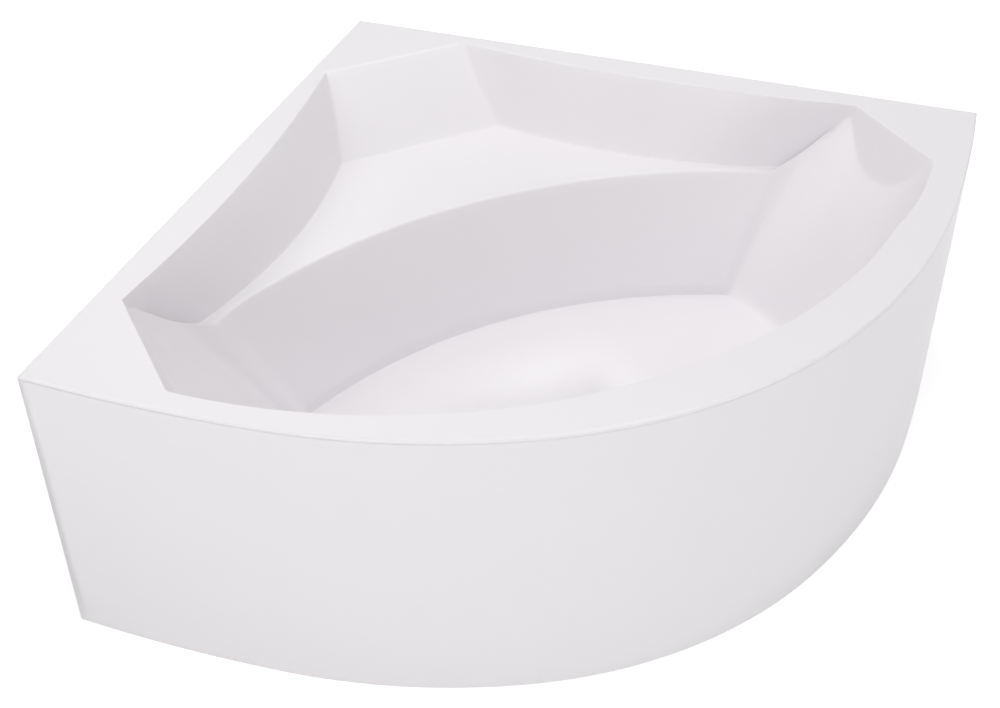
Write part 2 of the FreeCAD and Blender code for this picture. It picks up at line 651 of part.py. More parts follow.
def tub_shell():
    top = size("tub_height")
    skin = size("skin")
    outline = tub_outline()
    plate = prism(outline, size(RIM_UNDERSIDE), top)
    half = size(HALF_CHORD)
    reach = skin * math.sqrt(2)
    notch = size("wall_lip_notch") / math.sqrt(2)
    corners = [Vector(half - notch, notch, 0), Vector(0, half, 0), Vector(notch - half, notch, 0),
               Vector(notch - half + reach / 2, notch - reach / 2, 0), Vector(0, half - reach, 0),
               Vector(half - notch - reach / 2, notch - reach / 2, 0)]
    walls = prism([line(a, b) for a, b in zip(corners, corners[1:] + corners[:1])],
                  size(LIP_UNDERSIDE), top)
    front = front_band(0, skin, top - size("front_lip_depth"), top)
    rim = plate.fuse([walls, front]).removeSplitter()
    edges = [e for e in rim.Edges if min(v.Z for v in e.Vertexes) > top - 1e-6]
    rim = rim.makeFillet(size("rim_edge_radius"), edges)
    growth = skin + size("skin_slope_gain")
    outside = bowl(size(FLOOR_UNDERSIDE), size(SEAT_UNDERSIDE), top - 1, growth)
    inside = bowl(size("floor_level"), size("seat_level"), top + 2, 0.0)
    shell = rim.fuse(outside).cut(inside).removeSplitter()
    drain = Part.makeCylinder(size("waste_hole_radius"), 4 * skin,
                              Vector(size(WASTE[0]), size(WASTE[1]), size("floor_level") - 2 * skin))
    return shell.cut([drain, overflow_bore()])


# ---------------------------------------------------------------- overflow axis
def overflow_turn():
    """Turns z to the direction that leaves the bowl square to the front wall."""
    return Rotation(Vector(1, 0, 0), 90 + size(LEAN))


def overflow_spot(out=0.0):
    """The middle of the overflow on the inside of the front wall, or further out along its axis."""
    spot = Vector(-size("front_shift"), -size(FRONT_WALL), size(OVERFLOW_LEVEL))
    return spot + overflow_turn().multVec(Vector(0, 0, out))


def overflow_bore():
    reach = 6 * size("skin")
    axis = overflow_turn().multVec(Vector(0, 0, 1))
    return Part.makeCylinder(size("overflow_hole_radius"), 2 * reach, overflow_spot(-reach), axis)


def shaped(label, shape):
    """A moulded or bent piece that no single feature describes."""
    piece = doc.addObject("Part::Feature", label)
    piece.Shape = shape
    finish(piece, label)


# ---------------------------------------------------------------- parts that come more than once
def screw(name, length):
    """A screw along z, with the underside of its head at the origin."""
    head = rod(name + "_head", "screw_head_radius", "screw_head_depth", ("0", "0", "-screw_head_depth"))
    return fuse(name, head, rod(name + "_shank", "screw_radius", length, ("0", "0", "0")))


def union_nut(name, pipe, cover, beyond, wall):
    """A nut along z that covers the end of a socket below the origin and holds the pipe that leaves it."""
    inner = "%s + fit_gap + socket_wall + thread_gap" % pipe
    outer = "%s + %s" % (inner, wall)
    neck = "%s + thread_gap" % pipe
    return turned(name, ((inner, "-" + cover), (outer, "-" + cover), (outer, beyond), (neck, beyond),
                         (neck, "0"), (inner, "0")))


def square_tube(name, length, axis, corner):
    """A square tube along x or z."""
    inner_width = "rail_width - 2 * rail_wall"
    sides = [length if letter == axis else "rail_width" for letter in "xyz"]
    hollow = [length if letter == axis else inner_width for letter in "xyz"]
    inset = [text if letter == axis else "%s + rail_wall" % text for letter, text in zip("xyz", corner)]
    return cut(name, box(name + "_outside", sides, corner), box(name + "_inside", hollow, inset))


def plug_width():
    return "rail_width - 2 * rail_wall - 2 * fit_gap"


# ---------------------------------------------------------------- boards under the shell
RAILS = (("rear_rail", "rear_rail_place"), ("front_rail", FRONT_RAIL))
RAIL_SCREWS = tuple((x, y) for name, y in RAILS for x in ("-rail_screw_spread", "0", "rail_screw_spread"))
LEG_SCREWS = tuple(("%sleg_screw_spread" % x, "%s %s leg_screw_spread" % (LEG_PLACE, y))
                   for x in ("-", "") for y in ("-", "+"))


def screw_hole(name, x, y, low, depth):
    return rod(name, SCREW_HOLE, depth, (x, y, low))


def base_board():
    floor = size("floor_level")
    board = prism(well_wire(floor, -size("base_board_margin")).Edges,
                  size(BOARD_UNDERSIDE), size(FLOOR_UNDERSIDE))
    low = size(BOARD_UNDERSIDE)
    holes = [Part.makeCylinder(size("base_board_hole"), floor, Vector(size(WASTE[0]), size(WASTE[1]), 0))]
    for x, y in RAIL_SCREWS:
        holes.append(Part.makeCylinder(size(SCREW_HOLE), size("screw_grip"), Vector(size(x), size(y), low)))
    shaped("base_board", board.cut(holes))


def seat_board():
    slab = box("seat_board_slab", ("seat_board_width", "seat_board_run", "seat_board_depth"),
               ("-seat_board_width / 2", "%s - seat_board_run / 2" % LEG_PLACE, SEAT_BOARD_UNDERSIDE))
    holes = [screw_hole("seat_board_hole_%d" % n, x, y, SEAT_BOARD_UNDERSIDE, "screw_grip")
             for n, (x, y) in enumerate(LEG_SCREWS)]
    finish(cut("seat_board", slab, *holes), "seat_board")


def wall_point(wall, along, out):
    """A point at a distance from the wall corner and from the wall, in the frame of the walls."""
    if wall == "left":
        return "%s - tub_side / 2" % out, "tub_side / 2 - (%s)" % along
    return "(%s) - tub_side / 2" % along, "tub_side / 2 - (%s)" % out


def wall_box(name, wall, start, end, near, far, low, high):
    """A box beside a wall: from start to end along it, and from near to far out of it."""
    run, reach, rise = "(%s) - (%s)" % (end, start), "(%s) - (%s)" % (far, near), "(%s) - (%s)" % (high, low)
    if wall == "left":
        x, y = wall_point(wall, end, near)
        return box(name, (reach, run, rise), (x, y, low))
    x, y = wall_point(wall, start, far)
    return box(name, (run, reach, rise), (x, y, low))


BRACKETS = tuple((wall, middle) for wall in ("left", "back") for middle in ("bracket_near", "bracket_far"))


def bracket_screw_points(wall, middle):
    out = "%s + batten_width / 2" % BATTEN_NEAR
    return [wall_point(wall, "%s %s bracket_screw_spread" % (middle, sign), out) for sign in "-+"]


def rim_batten(wall):
    name = "rim_batten_" + wall
    bar = wall_box(name + "_bar", wall, "batten_start", "tub_side - batten_end_gap", BATTEN_NEAR, BATTEN_FAR,
                   LIP_UNDERSIDE, RIM_UNDERSIDE)
    holes = []
    for side, middle in BRACKETS:
        if side == wall:
            for x, y in bracket_screw_points(wall, middle):
                holes.append(screw_hole("%s_hole_%d" % (name, len(holes)), x, y, LIP_UNDERSIDE, "screw_grip"))
    finish_at_walls(cut(name, bar, *holes), name)


def wall_brackets():
    """Angles that stand on the wall below the lip, and the screws that hold the battens to them."""
    angles = []
    screws = []
    low = "%s - bracket_drop" % LIP_UNDERSIDE
    shelf = "%s - bracket_metal" % LIP_UNDERSIDE
    for number, (wall, middle) in enumerate(BRACKETS):
        name = "bracket_%d" % number
        span = "%s - bracket_width / 2" % middle, "%s + bracket_width / 2" % middle
        upright = wall_box(name + "_upright", wall, *span, "0", "bracket_metal", low, LIP_UNDERSIDE)
        level = wall_box(name + "_level", wall, *span, "0", "bracket_run", shelf, LIP_UNDERSIDE)
        axis = Vector(1, 0, 0) if wall == "left" else Vector(0, -1, 0)
        hole_level = "%s - bracket_hole_drop" % LIP_UNDERSIDE
        holes = [rod(name + "_wall_hole", "bracket_hole_radius", "bracket_metal",
                     wall_point(wall, middle, "0") + (hole_level,), axis)]
        for x, y in bracket_screw_points(wall, middle):
            holes.append(screw_hole("bracket_screw_hole_%d" % len(screws), x, y, shelf, "bracket_metal"))
            fixing = screw("bracket_screw_%d" % len(screws), "bracket_metal + screw_grip")
            screws.append(at(fixing, x, y, shelf))
        angles.append(cut(name, fuse(name + "_angle", upright, level), *holes))
    finish_at_walls(group("wall_brackets", *angles), "wall_brackets")
    finish_at_walls(group("bracket_screws", *screws), "bracket_screws")


# ---------------------------------------------------------------- panel, its clips and the front batten
def clip_places():
    """Point on the batten's outer face and turn for each clip, as formulas and degrees."""
    inner_reach = "(nose_radius - front_batten_inset)"
    outer_reach = "(flank_radius - front_batten_inset)"
    middle = "(nose_radius - %s)" % FRONT_REACH
    for side in (-1, 1):
        angle = side * size("clip_inner_angle")
        yield ("%s * sin(%g deg)" % (inner_reach, angle),
               "%s - %s * cos(%g deg)" % (middle, inner_reach, angle), angle)
        angle = side * size("clip_outer_angle")
        step = "(nose_radius - flank_radius)"
        yield ("%d * %s * sin(nose_angle * 1 deg) + %s * sin(%g deg)" % (side, step, outer_reach, angle),
               "%s - %s * cos(nose_angle * 1 deg) - %s * cos(%g deg)" % (middle, step, outer_reach, angle),
               angle)


def panel_clips():
    clips = []
    screws = []
    screw_level = "%s - clip_screw_drop" % CLIP_TOP
    for number, (x, y, angle) in enumerate(clip_places()):
        name = "clip_%d" % number
        turn = Rotation(Vector(0, 0, 1), angle)
        upright = box(name + "_upright", ("clip_width", "clip_metal", "clip_drop"),
                      ("-clip_width / 2", "-clip_metal", "%s - clip_drop" % CLIP_TOP))
        tongue = box(name + "_tongue", ("clip_width", "front_batten_inset - clip_reach", "clip_metal"),
                     ("-clip_width / 2", "clip_reach - front_batten_inset", "%s - clip_metal" % CLIP_TOP))
        hole = rod(name + "_hole", SCREW_HOLE, "clip_metal", ("0", "0", screw_level), Vector(0, -1, 0))
        clips.append(at(cut(name, fuse(name + "_angle", upright, tongue), hole), x, y, spin=turn))
        fixing = at(screw("clip_screw_%d" % number, "clip_metal + screw_grip"),
                    "0", "-clip_metal", screw_level, Rotation(Vector(0, 0, 1), Vector(0, 1, 0)))
        screws.append(at(group("clip_fixing_%d" % number, fixing), x, y, spin=turn))
    finish(group("panel_clips", *clips), "panel_clips")
    finish(group("panel_clip_screws", *screws), "panel_clip_screws")


def rim_batten_front():
    inset = size("front_batten_inset")
    top = size(RIM_UNDERSIDE)
    batten = front_band(inset, inset + size("front_batten_width"), top - size("front_batten_depth"), top,
                        size("front_batten_angle"))
    bores = []
    for x, y, angle in clip_places():
        inwards = Vector(-math.sin(math.radians(angle)), math.cos(math.radians(angle)), 0)
        start = Vector(size(x), size(y), size(CLIP_TOP) - size("clip_screw_drop"))
        depth = size("screw_grip")
        bores.append(Part.makeCylinder(size(SCREW_HOLE), 2 * depth, start - inwards * depth, inwards))
    shaped("rim_batten_front", batten.cut(bores))


def front_panel():
    skin = size("panel_skin")
    top = size(PANEL_TOP)
    panel = front_band(0, skin, 0, top)
    flanges = [front_band(0, size("panel_flange"), low, low + skin) for low in (0, top - skin)]
    shaped("front_panel", panel.fuse(flanges).removeSplitter())


# ---------------------------------------------------------------- rails, seat leg and feet
def rail(name, y):
    corner = ("-" + RAIL_HALF, "%s - rail_width / 2" % y, RAIL_UNDERSIDE)
    holes = [rod("%s_rod_hole_%d" % (name, n), ROD_HOLE, "rail_width", (x, y, RAIL_UNDERSIDE))
             for n, x in enumerate(("-" + FOOT_PLACE, FOOT_PLACE))]
    holes += [screw_hole("%s_screw_hole_%d" % (name, n), x, y, RAIL_UNDERSIDE, "rail_width")
              for n, (x, place_y) in enumerate(RAIL_SCREWS) if place_y == y]
    finish(cut(name, square_tube(name + "_tube", "2 * " + RAIL_HALF, "x", corner), *holes), name)


def rail_fittings():
    """Caps in the four ends of the rails, and the screws that hold the rails to the base board."""
    caps = []
    for name, y in RAILS:
        for side, start, plug in (("left", "-%s - cap_plate" % RAIL_HALF, "-" + RAIL_HALF),
                                  ("right", RAIL_HALF, "%s - cap_plug_length" % RAIL_HALF)):
            plate = box("%s_%s_plate" % (name, side), ("cap_plate", "rail_width", "rail_width"),
                        (start, "%s - rail_width / 2" % y, RAIL_UNDERSIDE))
            low = "%s + rail_wall + fit_gap" % RAIL_UNDERSIDE
            stem = box("%s_%s_plug" % (name, side), ("cap_plug_length", plug_width(), plug_width()),
                       (plug, "%s - (%s) / 2" % (y, plug_width()), low))
            caps.append(fuse("%s_%s_cap" % (name, side), plate, stem))
    finish(group("rail_end_caps", *caps), "rail_end_caps")
    screws = [at(screw("rail_screw_%d" % n, "rail_width + screw_grip"), x, y, RAIL_UNDERSIDE)
              for n, (x, y) in enumerate(RAIL_SCREWS)]
    finish(group("rail_screws", *screws), "rail_screws")


def seat_leg():
    foot = "%s + bush_flange" % RAIL_UNDERSIDE
    tube = square_tube("seat_leg_tube", "%s - (%s)" % (LEG_TOP, foot), "z",
                       ("-rail_width / 2", "%s - rail_width / 2" % LEG_PLACE, foot))
    plate = box("seat_leg_plate", ("leg_plate_side", "leg_plate_side", "leg_plate_depth"),
                ("-leg_plate_side / 2", "%s - leg_plate_side / 2" % LEG_PLACE, LEG_TOP))
    holes = [screw_hole("seat_leg_hole_%d" % n, x, y, LEG_TOP, "leg_plate_depth")
             for n, (x, y) in enumerate(LEG_SCREWS)]
    finish(cut("seat_leg", fuse("seat_leg_frame", tube, plate), *holes), "seat_leg")
    screws = [at(screw("leg_screw_%d" % n, "leg_plate_depth + screw_grip"), x, y, LEG_TOP)
              for n, (x, y) in enumerate(LEG_SCREWS)]
    finish(group("seat_leg_screws", *screws), "seat_leg_screws")
    flange = box("bush_plate", ("rail_width", "rail_width", "bush_flange"),
                 ("-rail_width / 2", "%s - rail_width / 2" % LEG_PLACE, RAIL_UNDERSIDE))
    plug = box("bush_plug", (plug_width(), plug_width(), "bush_plug_length"),
               ("-(%s) / 2" % plug_width(), "%s - (%s) / 2" % (LEG_PLACE, plug_width()), foot))
    bore = rod("bush_bore", ROD_HOLE, "bush_flange + bush_plug_length", ("0", LEG_PLACE, RAIL_UNDERSIDE))
    finish(cut("leg_guide_bush", fuse("bush", flange, plug), bore), "leg_guide_bush")


def nut(name, low):
    hexagon = doc.addObject("Part::Prism", name + "_hexagon")
    hexagon.Polygon = 6
    hexagon.setExpression("Circumradius", linked("nut_flats / sqrt(3)"))
    hexagon.setExpression("Height", linked("nut_depth"))
    at(hexagon, z=low)
    return cut(name, hexagon, rod(name + "_bore", "rod_radius + thread_gap", "nut_depth", ("0", "0", low)))


FEET = (("-" + FOOT_PLACE, "rear_rail_place", True), (FOOT_PLACE, "rear_rail_place", True),
        ("-" + FOOT_PLACE, FRONT_RAIL, True), (FOOT_PLACE, FRONT_RAIL, True), ("0", LEG_PLACE, False))


def foot(number, x, y, clamps_rail):
    """A levelling foot: threaded rod, pad, and the nuts that hold it in a rail or under the seat leg."""
    top = "rod_seat + rod_length"
    shaft = turned("foot_rod_%d" % number, (
        ("0", "rod_seat"), ("rod_radius - rod_chamfer", "rod_seat"), ("rod_radius", "rod_seat + rod_chamfer"),
        ("rod_radius", "%s - rod_chamfer" % top), ("rod_radius - rod_chamfer", top), ("0", top)))
    finish(shaft, "foot_rod_%d" % number, x, y)
    socket = "rod_radius + thread_gap"
    pad = turned("foot_pad_%d" % number, (
        ("0", "0"), ("pad_radius", "0"), ("pad_radius", "pad_rim"), ("pad_neck_radius", "pad_shoulder"),
        ("pad_neck_radius", "pad_height"), (socket, "pad_height"), (socket, "rod_seat"), ("0", "rod_seat")))
    finish(pad, "foot_pad_%d" % number, x, y)
    name = "levelling_nuts_%d" % number
    nuts = [nut(name + "_lower", "%s - nut_depth" % RAIL_UNDERSIDE)]
    if clamps_rail:
        nuts.append(nut(name + "_upper", BOARD_UNDERSIDE))
    finish(group(name, *nuts), name, x, y)


# ---------------------------------------------------------------- waste in the floor
def waste_set():
    """Flange, gaskets, body and plug, all round one upright axis."""
    neck_end = "%s - flange_neck_length" % FLANGE_UNDERSIDE
    bore = "flange_bore_radius"
    skirt = turned("waste_flange_skirt", (
        (bore, neck_end), ("flange_neck_radius", neck_end), ("flange_neck_radius", FLANGE_UNDERSIDE),
        ("flange_radius", FLANGE_UNDERSIDE), ("flange_radius", "%s - flange_depth / 2" % FLANGE_TOP),
        ("flange_radius - flange_depth / 2", FLANGE_TOP), (bore, FLANGE_TOP)))
    arms = []
    for index in range(3):
        arm = box("spider_arm_%d" % index, ("%s + stop_step / 2" % bore, "spider_width", "spider_depth"),
                  ("0", "0", "0"))
        swing = Rotation(Vector(0, 0, 1), 120 * index)
        shift = swing.multVec(Vector(0, -1, 0))
        arms.append(at(arm, "%g * spider_width / 2" % shift.x, "%g * spider_width / 2" % shift.y,
                       "%s - spider_depth" % FLANGE_UNDERSIDE, swing))
    hub = rod("spider_hub", "guide_radius", "guide_depth", ("0", "0", "%s - guide_depth" % FLANGE_UNDERSIDE))
    guide = rod("spider_bore", "stem_radius + thread_gap", "guide_depth",
                ("0", "0", "%s - guide_depth" % FLANGE_UNDERSIDE))
    finish(cut("waste_flange", fuse("waste_flange_solid", skirt, hub, *arms), guide), "waste_flange", *WASTE)

    finish(turned("waste_top_gasket", ring("flange_radius - gasket_inset", "waste_hole_radius",
                                           "floor_level", FLANGE_UNDERSIDE)), "waste_top_gasket", *WASTE)
    finish(turned("waste_bottom_gasket", ring("body_radius - gasket_inset", "waste_hole_radius",
                                              BODY_TOP, FLOOR_UNDERSIDE)), "waste_bottom_gasket", *WASTE)
    finish(waste_body(), "waste_body", *WASTE)

    stem_end = "%s - stem_length" % PLUG_UNDERSIDE
    crown = "%s + plug_crown" % PLUG_UNDERSIDE
    edge = "%s + plug_edge" % PLUG_UNDERSIDE
    plug = turned("waste_plug", (
        ("0", stem_end), ("stem_radius", stem_end), ("stem_radius", PLUG_UNDERSIDE),
        ("plug_radius", PLUG_UNDERSIDE), ("plug_radius", "%s - plug_edge / 3" % edge),
        ("plug_radius - plug_edge / 3", edge), ("plug_radius / 2", crown), ("0", crown)))
    finish(plug, "waste_plug", *WASTE)
    finish(turned("plug_seal", ring("seal_radius", "seal_radius - seal_width",
                                    "%s - seal_depth" % PLUG_UNDERSIDE, PLUG_UNDERSIDE)), "plug_seal", *WASTE)
    pin = rod("lift_pin", "pin_radius", "pin_length", ("0", "0", "0"))
    finish(pin, "lift_pin", *WASTE, "%s - pin_length" % stem_end)


def waste_body():
    """Barrel with a flange, a spout below, a port for the overflow pipe and a boss for the lift cable."""
    collar = "flange_neck_radius + thread_gap"
    cavity = "barrel_radius - body_wall"
    collar_end = "%s - body_collar_depth" % BODY_TOP
    under = BODY_UNDERSIDE
    spout_end = "%s - spout_length" % under
    spout_bore = "spout_radius - body_wall"
    barrel = turned("waste_barrel", (
        (collar, BODY_TOP), ("body_radius", BODY_TOP), ("body_radius", "%s - body_flange_depth" % BODY_TOP),
        ("barrel_radius", "%s - body_flange_depth" % BODY_TOP), ("barrel_radius", under),
        ("spout_radius", under), ("spout_radius", spout_end), (spout_bore, spout_end),
        (spout_bore, "%s + body_wall" % under), (cavity, "%s + body_wall" % under), (cavity, collar_end),
        (collar, collar_end)))
    outwards = Vector(0, -1, 0)
    start = "-(barrel_radius - body_wall / 2)"
    port = rod("port_sleeve", "pipe_radius + fit_gap + socket_wall", "port_length + body_wall / 2",
               ("0", start, PORT_LEVEL), outwards)
    stop = "-(barrel_radius + stop_step)"
    socket = rod("port_socket", "pipe_radius + fit_gap", "port_length", ("0", stop, PORT_LEVEL), outwards)
    way = rod("port_way", "pipe_radius - stop_step", PORT_END, ("0", "0", PORT_LEVEL), outwards)
    reach = "cable_end_reach + ferrule_grip"
    boss = rod("body_boss", "ferrule_radius", "ferrule_grip + ferrule_end",
               ("cable_offset", "-(%s)" % reach, CABLE_LEVEL), Vector(0, 1, 0))
    grip = rod("body_boss_bore", "cable_radius + thread_gap", "ferrule_grip",
               ("cable_offset", "-(%s)" % reach, CABLE_LEVEL), Vector(0, 1, 0))
    return cut("waste_body", fuse("waste_body_solid", barrel, port, boss), socket, way, grip)


# ---------------------------------------------------------------- trap and outlet
def trap():
    """Jar with a dip tube and a screwed cup, and the outlet pipe that leaves it towards the left wall."""
    wall = "trap_wall"
    turn = Rotation(Vector(0, 0, 1), size("outlet_turn"))
    spigot = "(outlet_radius - spigot_step)"
    inner = "trap_radius - trap_wall"
    inlet = "spout_radius + fit_gap"
    inlet_outside = "%s + socket_wall" % inlet
    dip = "%s - inlet_dip" % TRAP_TOP
    jar = turned("trap_jar", (
        (inlet, dip), (inlet_outside, dip), (inlet_outside, "%s - %s" % (TRAP_TOP, wall)),
        (inner, "%s - %s" % (TRAP_TOP, wall)), (inner, TRAP_BOTTOM), ("trap_radius", TRAP_BOTTOM),
        ("trap_radius", TRAP_TOP), (inlet_outside, TRAP_TOP), (inlet_outside, INLET_TOP), (inlet, INLET_TOP)))
    along = Vector(0, 1, 0)
    sleeve = rod("outlet_sleeve", "%s + fit_gap + socket_wall" % spigot, "socket_length + trap_wall / 2",
                 ("0", "trap_radius - trap_wall / 2", OUTLET_LEVEL), along)
    cavity = rod("outlet_socket", "%s + fit_gap" % spigot, "socket_length",
                 ("0", OUTLET_START, OUTLET_LEVEL), along)
    way = rod("outlet_way", "outlet_radius - stop_step", "socket_length + trap_wall",
              ("0", "trap_radius - 2 * trap_wall", OUTLET_LEVEL), along)
    finish(cut("trap_body", fuse("trap_solid", jar, sleeve), cavity, way), "trap_body", *WASTE, spin=turn)

    thread = "trap_radius + thread_gap"
    under = "%s - cup_plate" % TRAP_BOTTOM
    cup = turned("trap_cup", (
        ("0", under), ("%s + cup_plate" % thread, under), ("%s + cup_plate" % thread, "%s + cup_rim" % under),
        (thread, "%s + cup_rim" % under), (thread, TRAP_BOTTOM), ("0", TRAP_BOTTOM)))
    finish(cup, "trap_cup", *WASTE)

    finish(union_nut("trap_union_nut", "spout_radius", "union_cover", "union_beyond", "union_wall"),
           "trap_union_nut", *WASTE, INLET_TOP)
    lying = Rotation(Vector(0, 0, 1), along)
    grip = at(union_nut("outlet_nut", spigot, "union_cover", "union_beyond", "union_wall"),
              "0", SOCKET_END, OUTLET_LEVEL, lying)
    finish(group("outlet_union_nut", grip), "outlet_union_nut", *WASTE, spin=turn)
    bore = "outlet_radius - outlet_wall"
    shoulder = "socket_length - stop_step + union_beyond + shoulder_gap"
    tube = turned("outlet_tube", (
        (bore, "0"), (spigot, "0"), (spigot, shoulder), ("outlet_radius", shoulder),
        ("outlet_radius", "outlet_length"), (bore, "outlet_length")))
    finish(group("outlet_pipe", at(tube, "0", OUTLET_START, OUTLET_LEVEL, lying)), "outlet_pipe", *WASTE,
           spin=turn)


# ---------------------------------------------------------------- overflow
OVERFLOW = (WASTE[0], "-%s" % FRONT_WALL, OVERFLOW_LEVEL)


def overflow_set():
    """Face plate, knob, gasket and screws, all round the overflow's own axis."""
    turn = overflow_turn()
    front = FACE_FRONT
    back = "-face_stand"
    neck_end = "face_neck_length - face_stand"
    plate = turned("overflow_plate", (
        ("face_bore", front), ("face_radius - face_edge", front), ("face_radius", "%s + face_edge" % front),
        ("face_radius", back), ("face_neck_radius", back), ("face_neck_radius", neck_end),
        ("face_bore", neck_end)))
    holes = []
    screws = []
    head_end = "%s + screw_head_depth" % front
    for index, x in enumerate(("-overflow_screw_place", "overflow_screw_place")):
        pocket = rod("face_pocket_%d" % index, "screw_head_radius + fit_gap", "screw_head_depth",
                     (x, "0", front))
        shank = rod("face_hole_%d" % index, SCREW_HOLE, "face_depth + face_neck_length", (x, "0", front))
        holes += [pocket, shank]
        screws.append(at(screw("overflow_screw_%d" % index, "overflow_screw_length"), x, "0", head_end))
    finish(cut("overflow_face", plate, *holes), "overflow_face", *OVERFLOW, spin=turn)
    finish(group("overflow_screws", *screws), "overflow_screws", *OVERFLOW, spin=turn)

    knob_back = "%s - knob_gap" % front
    knob_front = "%s - knob_depth" % knob_back
    knob = turned("overflow_knob", (
        ("0", knob_front), ("knob_radius - knob_bevel", knob_front),
        ("knob_radius", "%s + knob_bevel" % knob_front), ("knob_radius", knob_back),
        ("shaft_radius", knob_back), ("shaft_radius", "shaft_reach"), ("0", "shaft_reach")))
    finish(knob, "overflow_knob", *OVERFLOW, spin=turn)
    finish(turned("overflow_gasket", ring("cup_radius", "waste_hole_radius", WALL_BACK, CUP_START)),
           "overflow_gasket", *OVERFLOW, spin=turn)


def overflow_body():
    """Cup behind the wall, with a bearing, two screw bosses, a pipe socket and a boss for the cable."""
    def in_line(piece):
        return at(piece, "0", WASTE_TO_WALL, OVERFLOW_LEVEL, overflow_turn())

    socket_top = "%s - socket_drop" % OVERFLOW_LEVEL
    cup = rod("cup_outside", "cup_radius", "cup_depth", ("0", "0", CUP_START))
    hollow = rod("cup_inside", "cup_radius - body_wall", "cup_depth - body_wall", ("0", "0", CUP_START))
    sleeve = rod("pipe_sleeve", "pipe_radius + fit_gap + socket_wall",
                 "%s - (%s)" % (socket_top, PIPE_SOCKET_END), ("0", PIPE_PLACE, PIPE_SOCKET_END))
    socket = rod("pipe_socket", "pipe_radius + fit_gap", "%s - (%s)" % (PIPE_TOP, PIPE_SOCKET_END),
                 ("0", PIPE_PLACE, PIPE_SOCKET_END))
    way = rod("pipe_way", "pipe_radius - stop_step", "%s - %s" % (socket_top, PIPE_TOP),
              ("0", PIPE_PLACE, PIPE_TOP))
    outside = fuse("cup_solid", in_line(group("cup_outside_turned", cup)), sleeve)
    inside = in_line(group("cup_inside_turned", hollow))
    shell = cut("cup_shell", outside, inside, socket, way)

    bearing = rod("bearing", "bearing_radius", "bearing_length", ("0", "0", "%s - bearing_length" % CUP_BACK))
    posts = [bearing]
    bores = [rod("bearing_bore", "shaft_radius + thread_gap",
                 "shaft_reach - %s + bearing_length + knob_gap" % CUP_BACK,
                 ("0", "0", "%s - bearing_length" % CUP_BACK))]
    for index, x in enumerate(("-overflow_screw_place", "overflow_screw_place")):
        posts.append(rod("boss_%d" % index, "boss_radius", "cup_depth - body_wall", (x, "0", CUP_START)))
        bores.append(rod("boss_bore_%d" % index, SCREW_HOLE, "overflow_screw_length",
                         (x, "0", "%s + screw_head_depth" % FACE_FRONT)))
    fittings = in_line(cut("cup_fittings", fuse("cup_posts", *posts), *bores))
    foot = ("cable_offset", PIPE_PLACE, "%s - ferrule_grip" % CABLE_TOP)
    boss = rod("cup_boss", "ferrule_radius", "ferrule_grip + ferrule_end", foot)
    grip = rod("cup_boss_bore", "cable_radius + thread_gap", "ferrule_grip", foot)
    cup_body = cut("overflow_body", fuse("overflow_body_solid", shell, fittings, boss), grip)
    finish(cup_body, "overflow_body", *WASTE)


def bent_rod(name, radius, bend, x, top, level, reach):
    """A round bar that runs down, bends towards the corner and ends at reach."""
    down = rod(name + "_down", radius, "%s - %s - %s" % (top, level, bend),
               (x, PIPE_PLACE, "%s + %s" % (level, bend)))
    turn = doc.addObject("Part::Torus", name + "_bend")
    turn.setExpression("Radius1", linked(bend))
    turn.setExpression("Radius2", linked(radius))
    turn.Angle3 = 90
    at(turn, x, "%s + %s" % (PIPE_PLACE, bend), "%s + %s" % (level, bend),
       Rotation(Vector(0, -1, 0), Vector(0, 0, -1), Vector(1, 0, 0)))
    along = rod(name + "_along", radius, "%s - %s - %s" % (reach, PIPE_PLACE, bend),
                (x, "%s + %s" % (PIPE_PLACE, bend), level), Vector(0, 1, 0))
    return fuse(name, down, turn, along)


def overflow_pipe():
    stop = "-(barrel_radius + stop_step)"
    outside = bent_rod("pipe_outside", "pipe_radius", "pipe_bend", "0", PIPE_TOP, PORT_LEVEL, stop)
    bore = "(pipe_radius - pipe_wall)"
    inside = bent_rod("pipe_inside", bore, "pipe_bend", "0", PIPE_TOP, PORT_LEVEL, stop)
    finish(cut("overflow_pipe", outside, inside), "overflow_pipe", *WASTE)
    nuts = [
        at(union_nut("pipe_nut_top", "pipe_radius", "pipe_nut_cover", "pipe_nut_beyond", "union_wall"),
           "0", PIPE_PLACE, PIPE_SOCKET_END, Rotation(Vector(0, 0, 1), Vector(0, 0, -1))),
        at(union_nut("pipe_nut_port", "pipe_radius", "pipe_nut_cover", "pipe_nut_beyond", "union_wall"),
           "0", "-%s" % PORT_END, PORT_LEVEL, Rotation(Vector(0, 0, 1), Vector(0, -1, 0))),
    ]
    finish(group("overflow_pipe_nuts", *nuts), "overflow_pipe_nuts", *WASTE)
    cable = bent_rod("lift_cable", "cable_radius", "cable_bend", "cable_offset",
                     CABLE_TOP, CABLE_LEVEL, "-cable_end_reach")
    finish(cable, "lift_cable", *WASTE)


def check_and_write():
    doc.recompute()
    for piece in doc.Objects:
        if any(word in state for state in piece.State for word in ("Invalid", "Error")):
            raise RuntimeError("%s is %s" % (piece.Name, piece.State))
    os.makedirs("parts", exist_ok=True)
    for piece in FINISHED:
        shape = piece.Shape
        if shape.isNull() or not shape.isValid() or not shape.Solids:
            raise RuntimeError("%s has no valid solid" % piece.Label)
    for piece in FINISHED:
        piece.Shape.exportStep("parts/%s.step" % piece.Label)


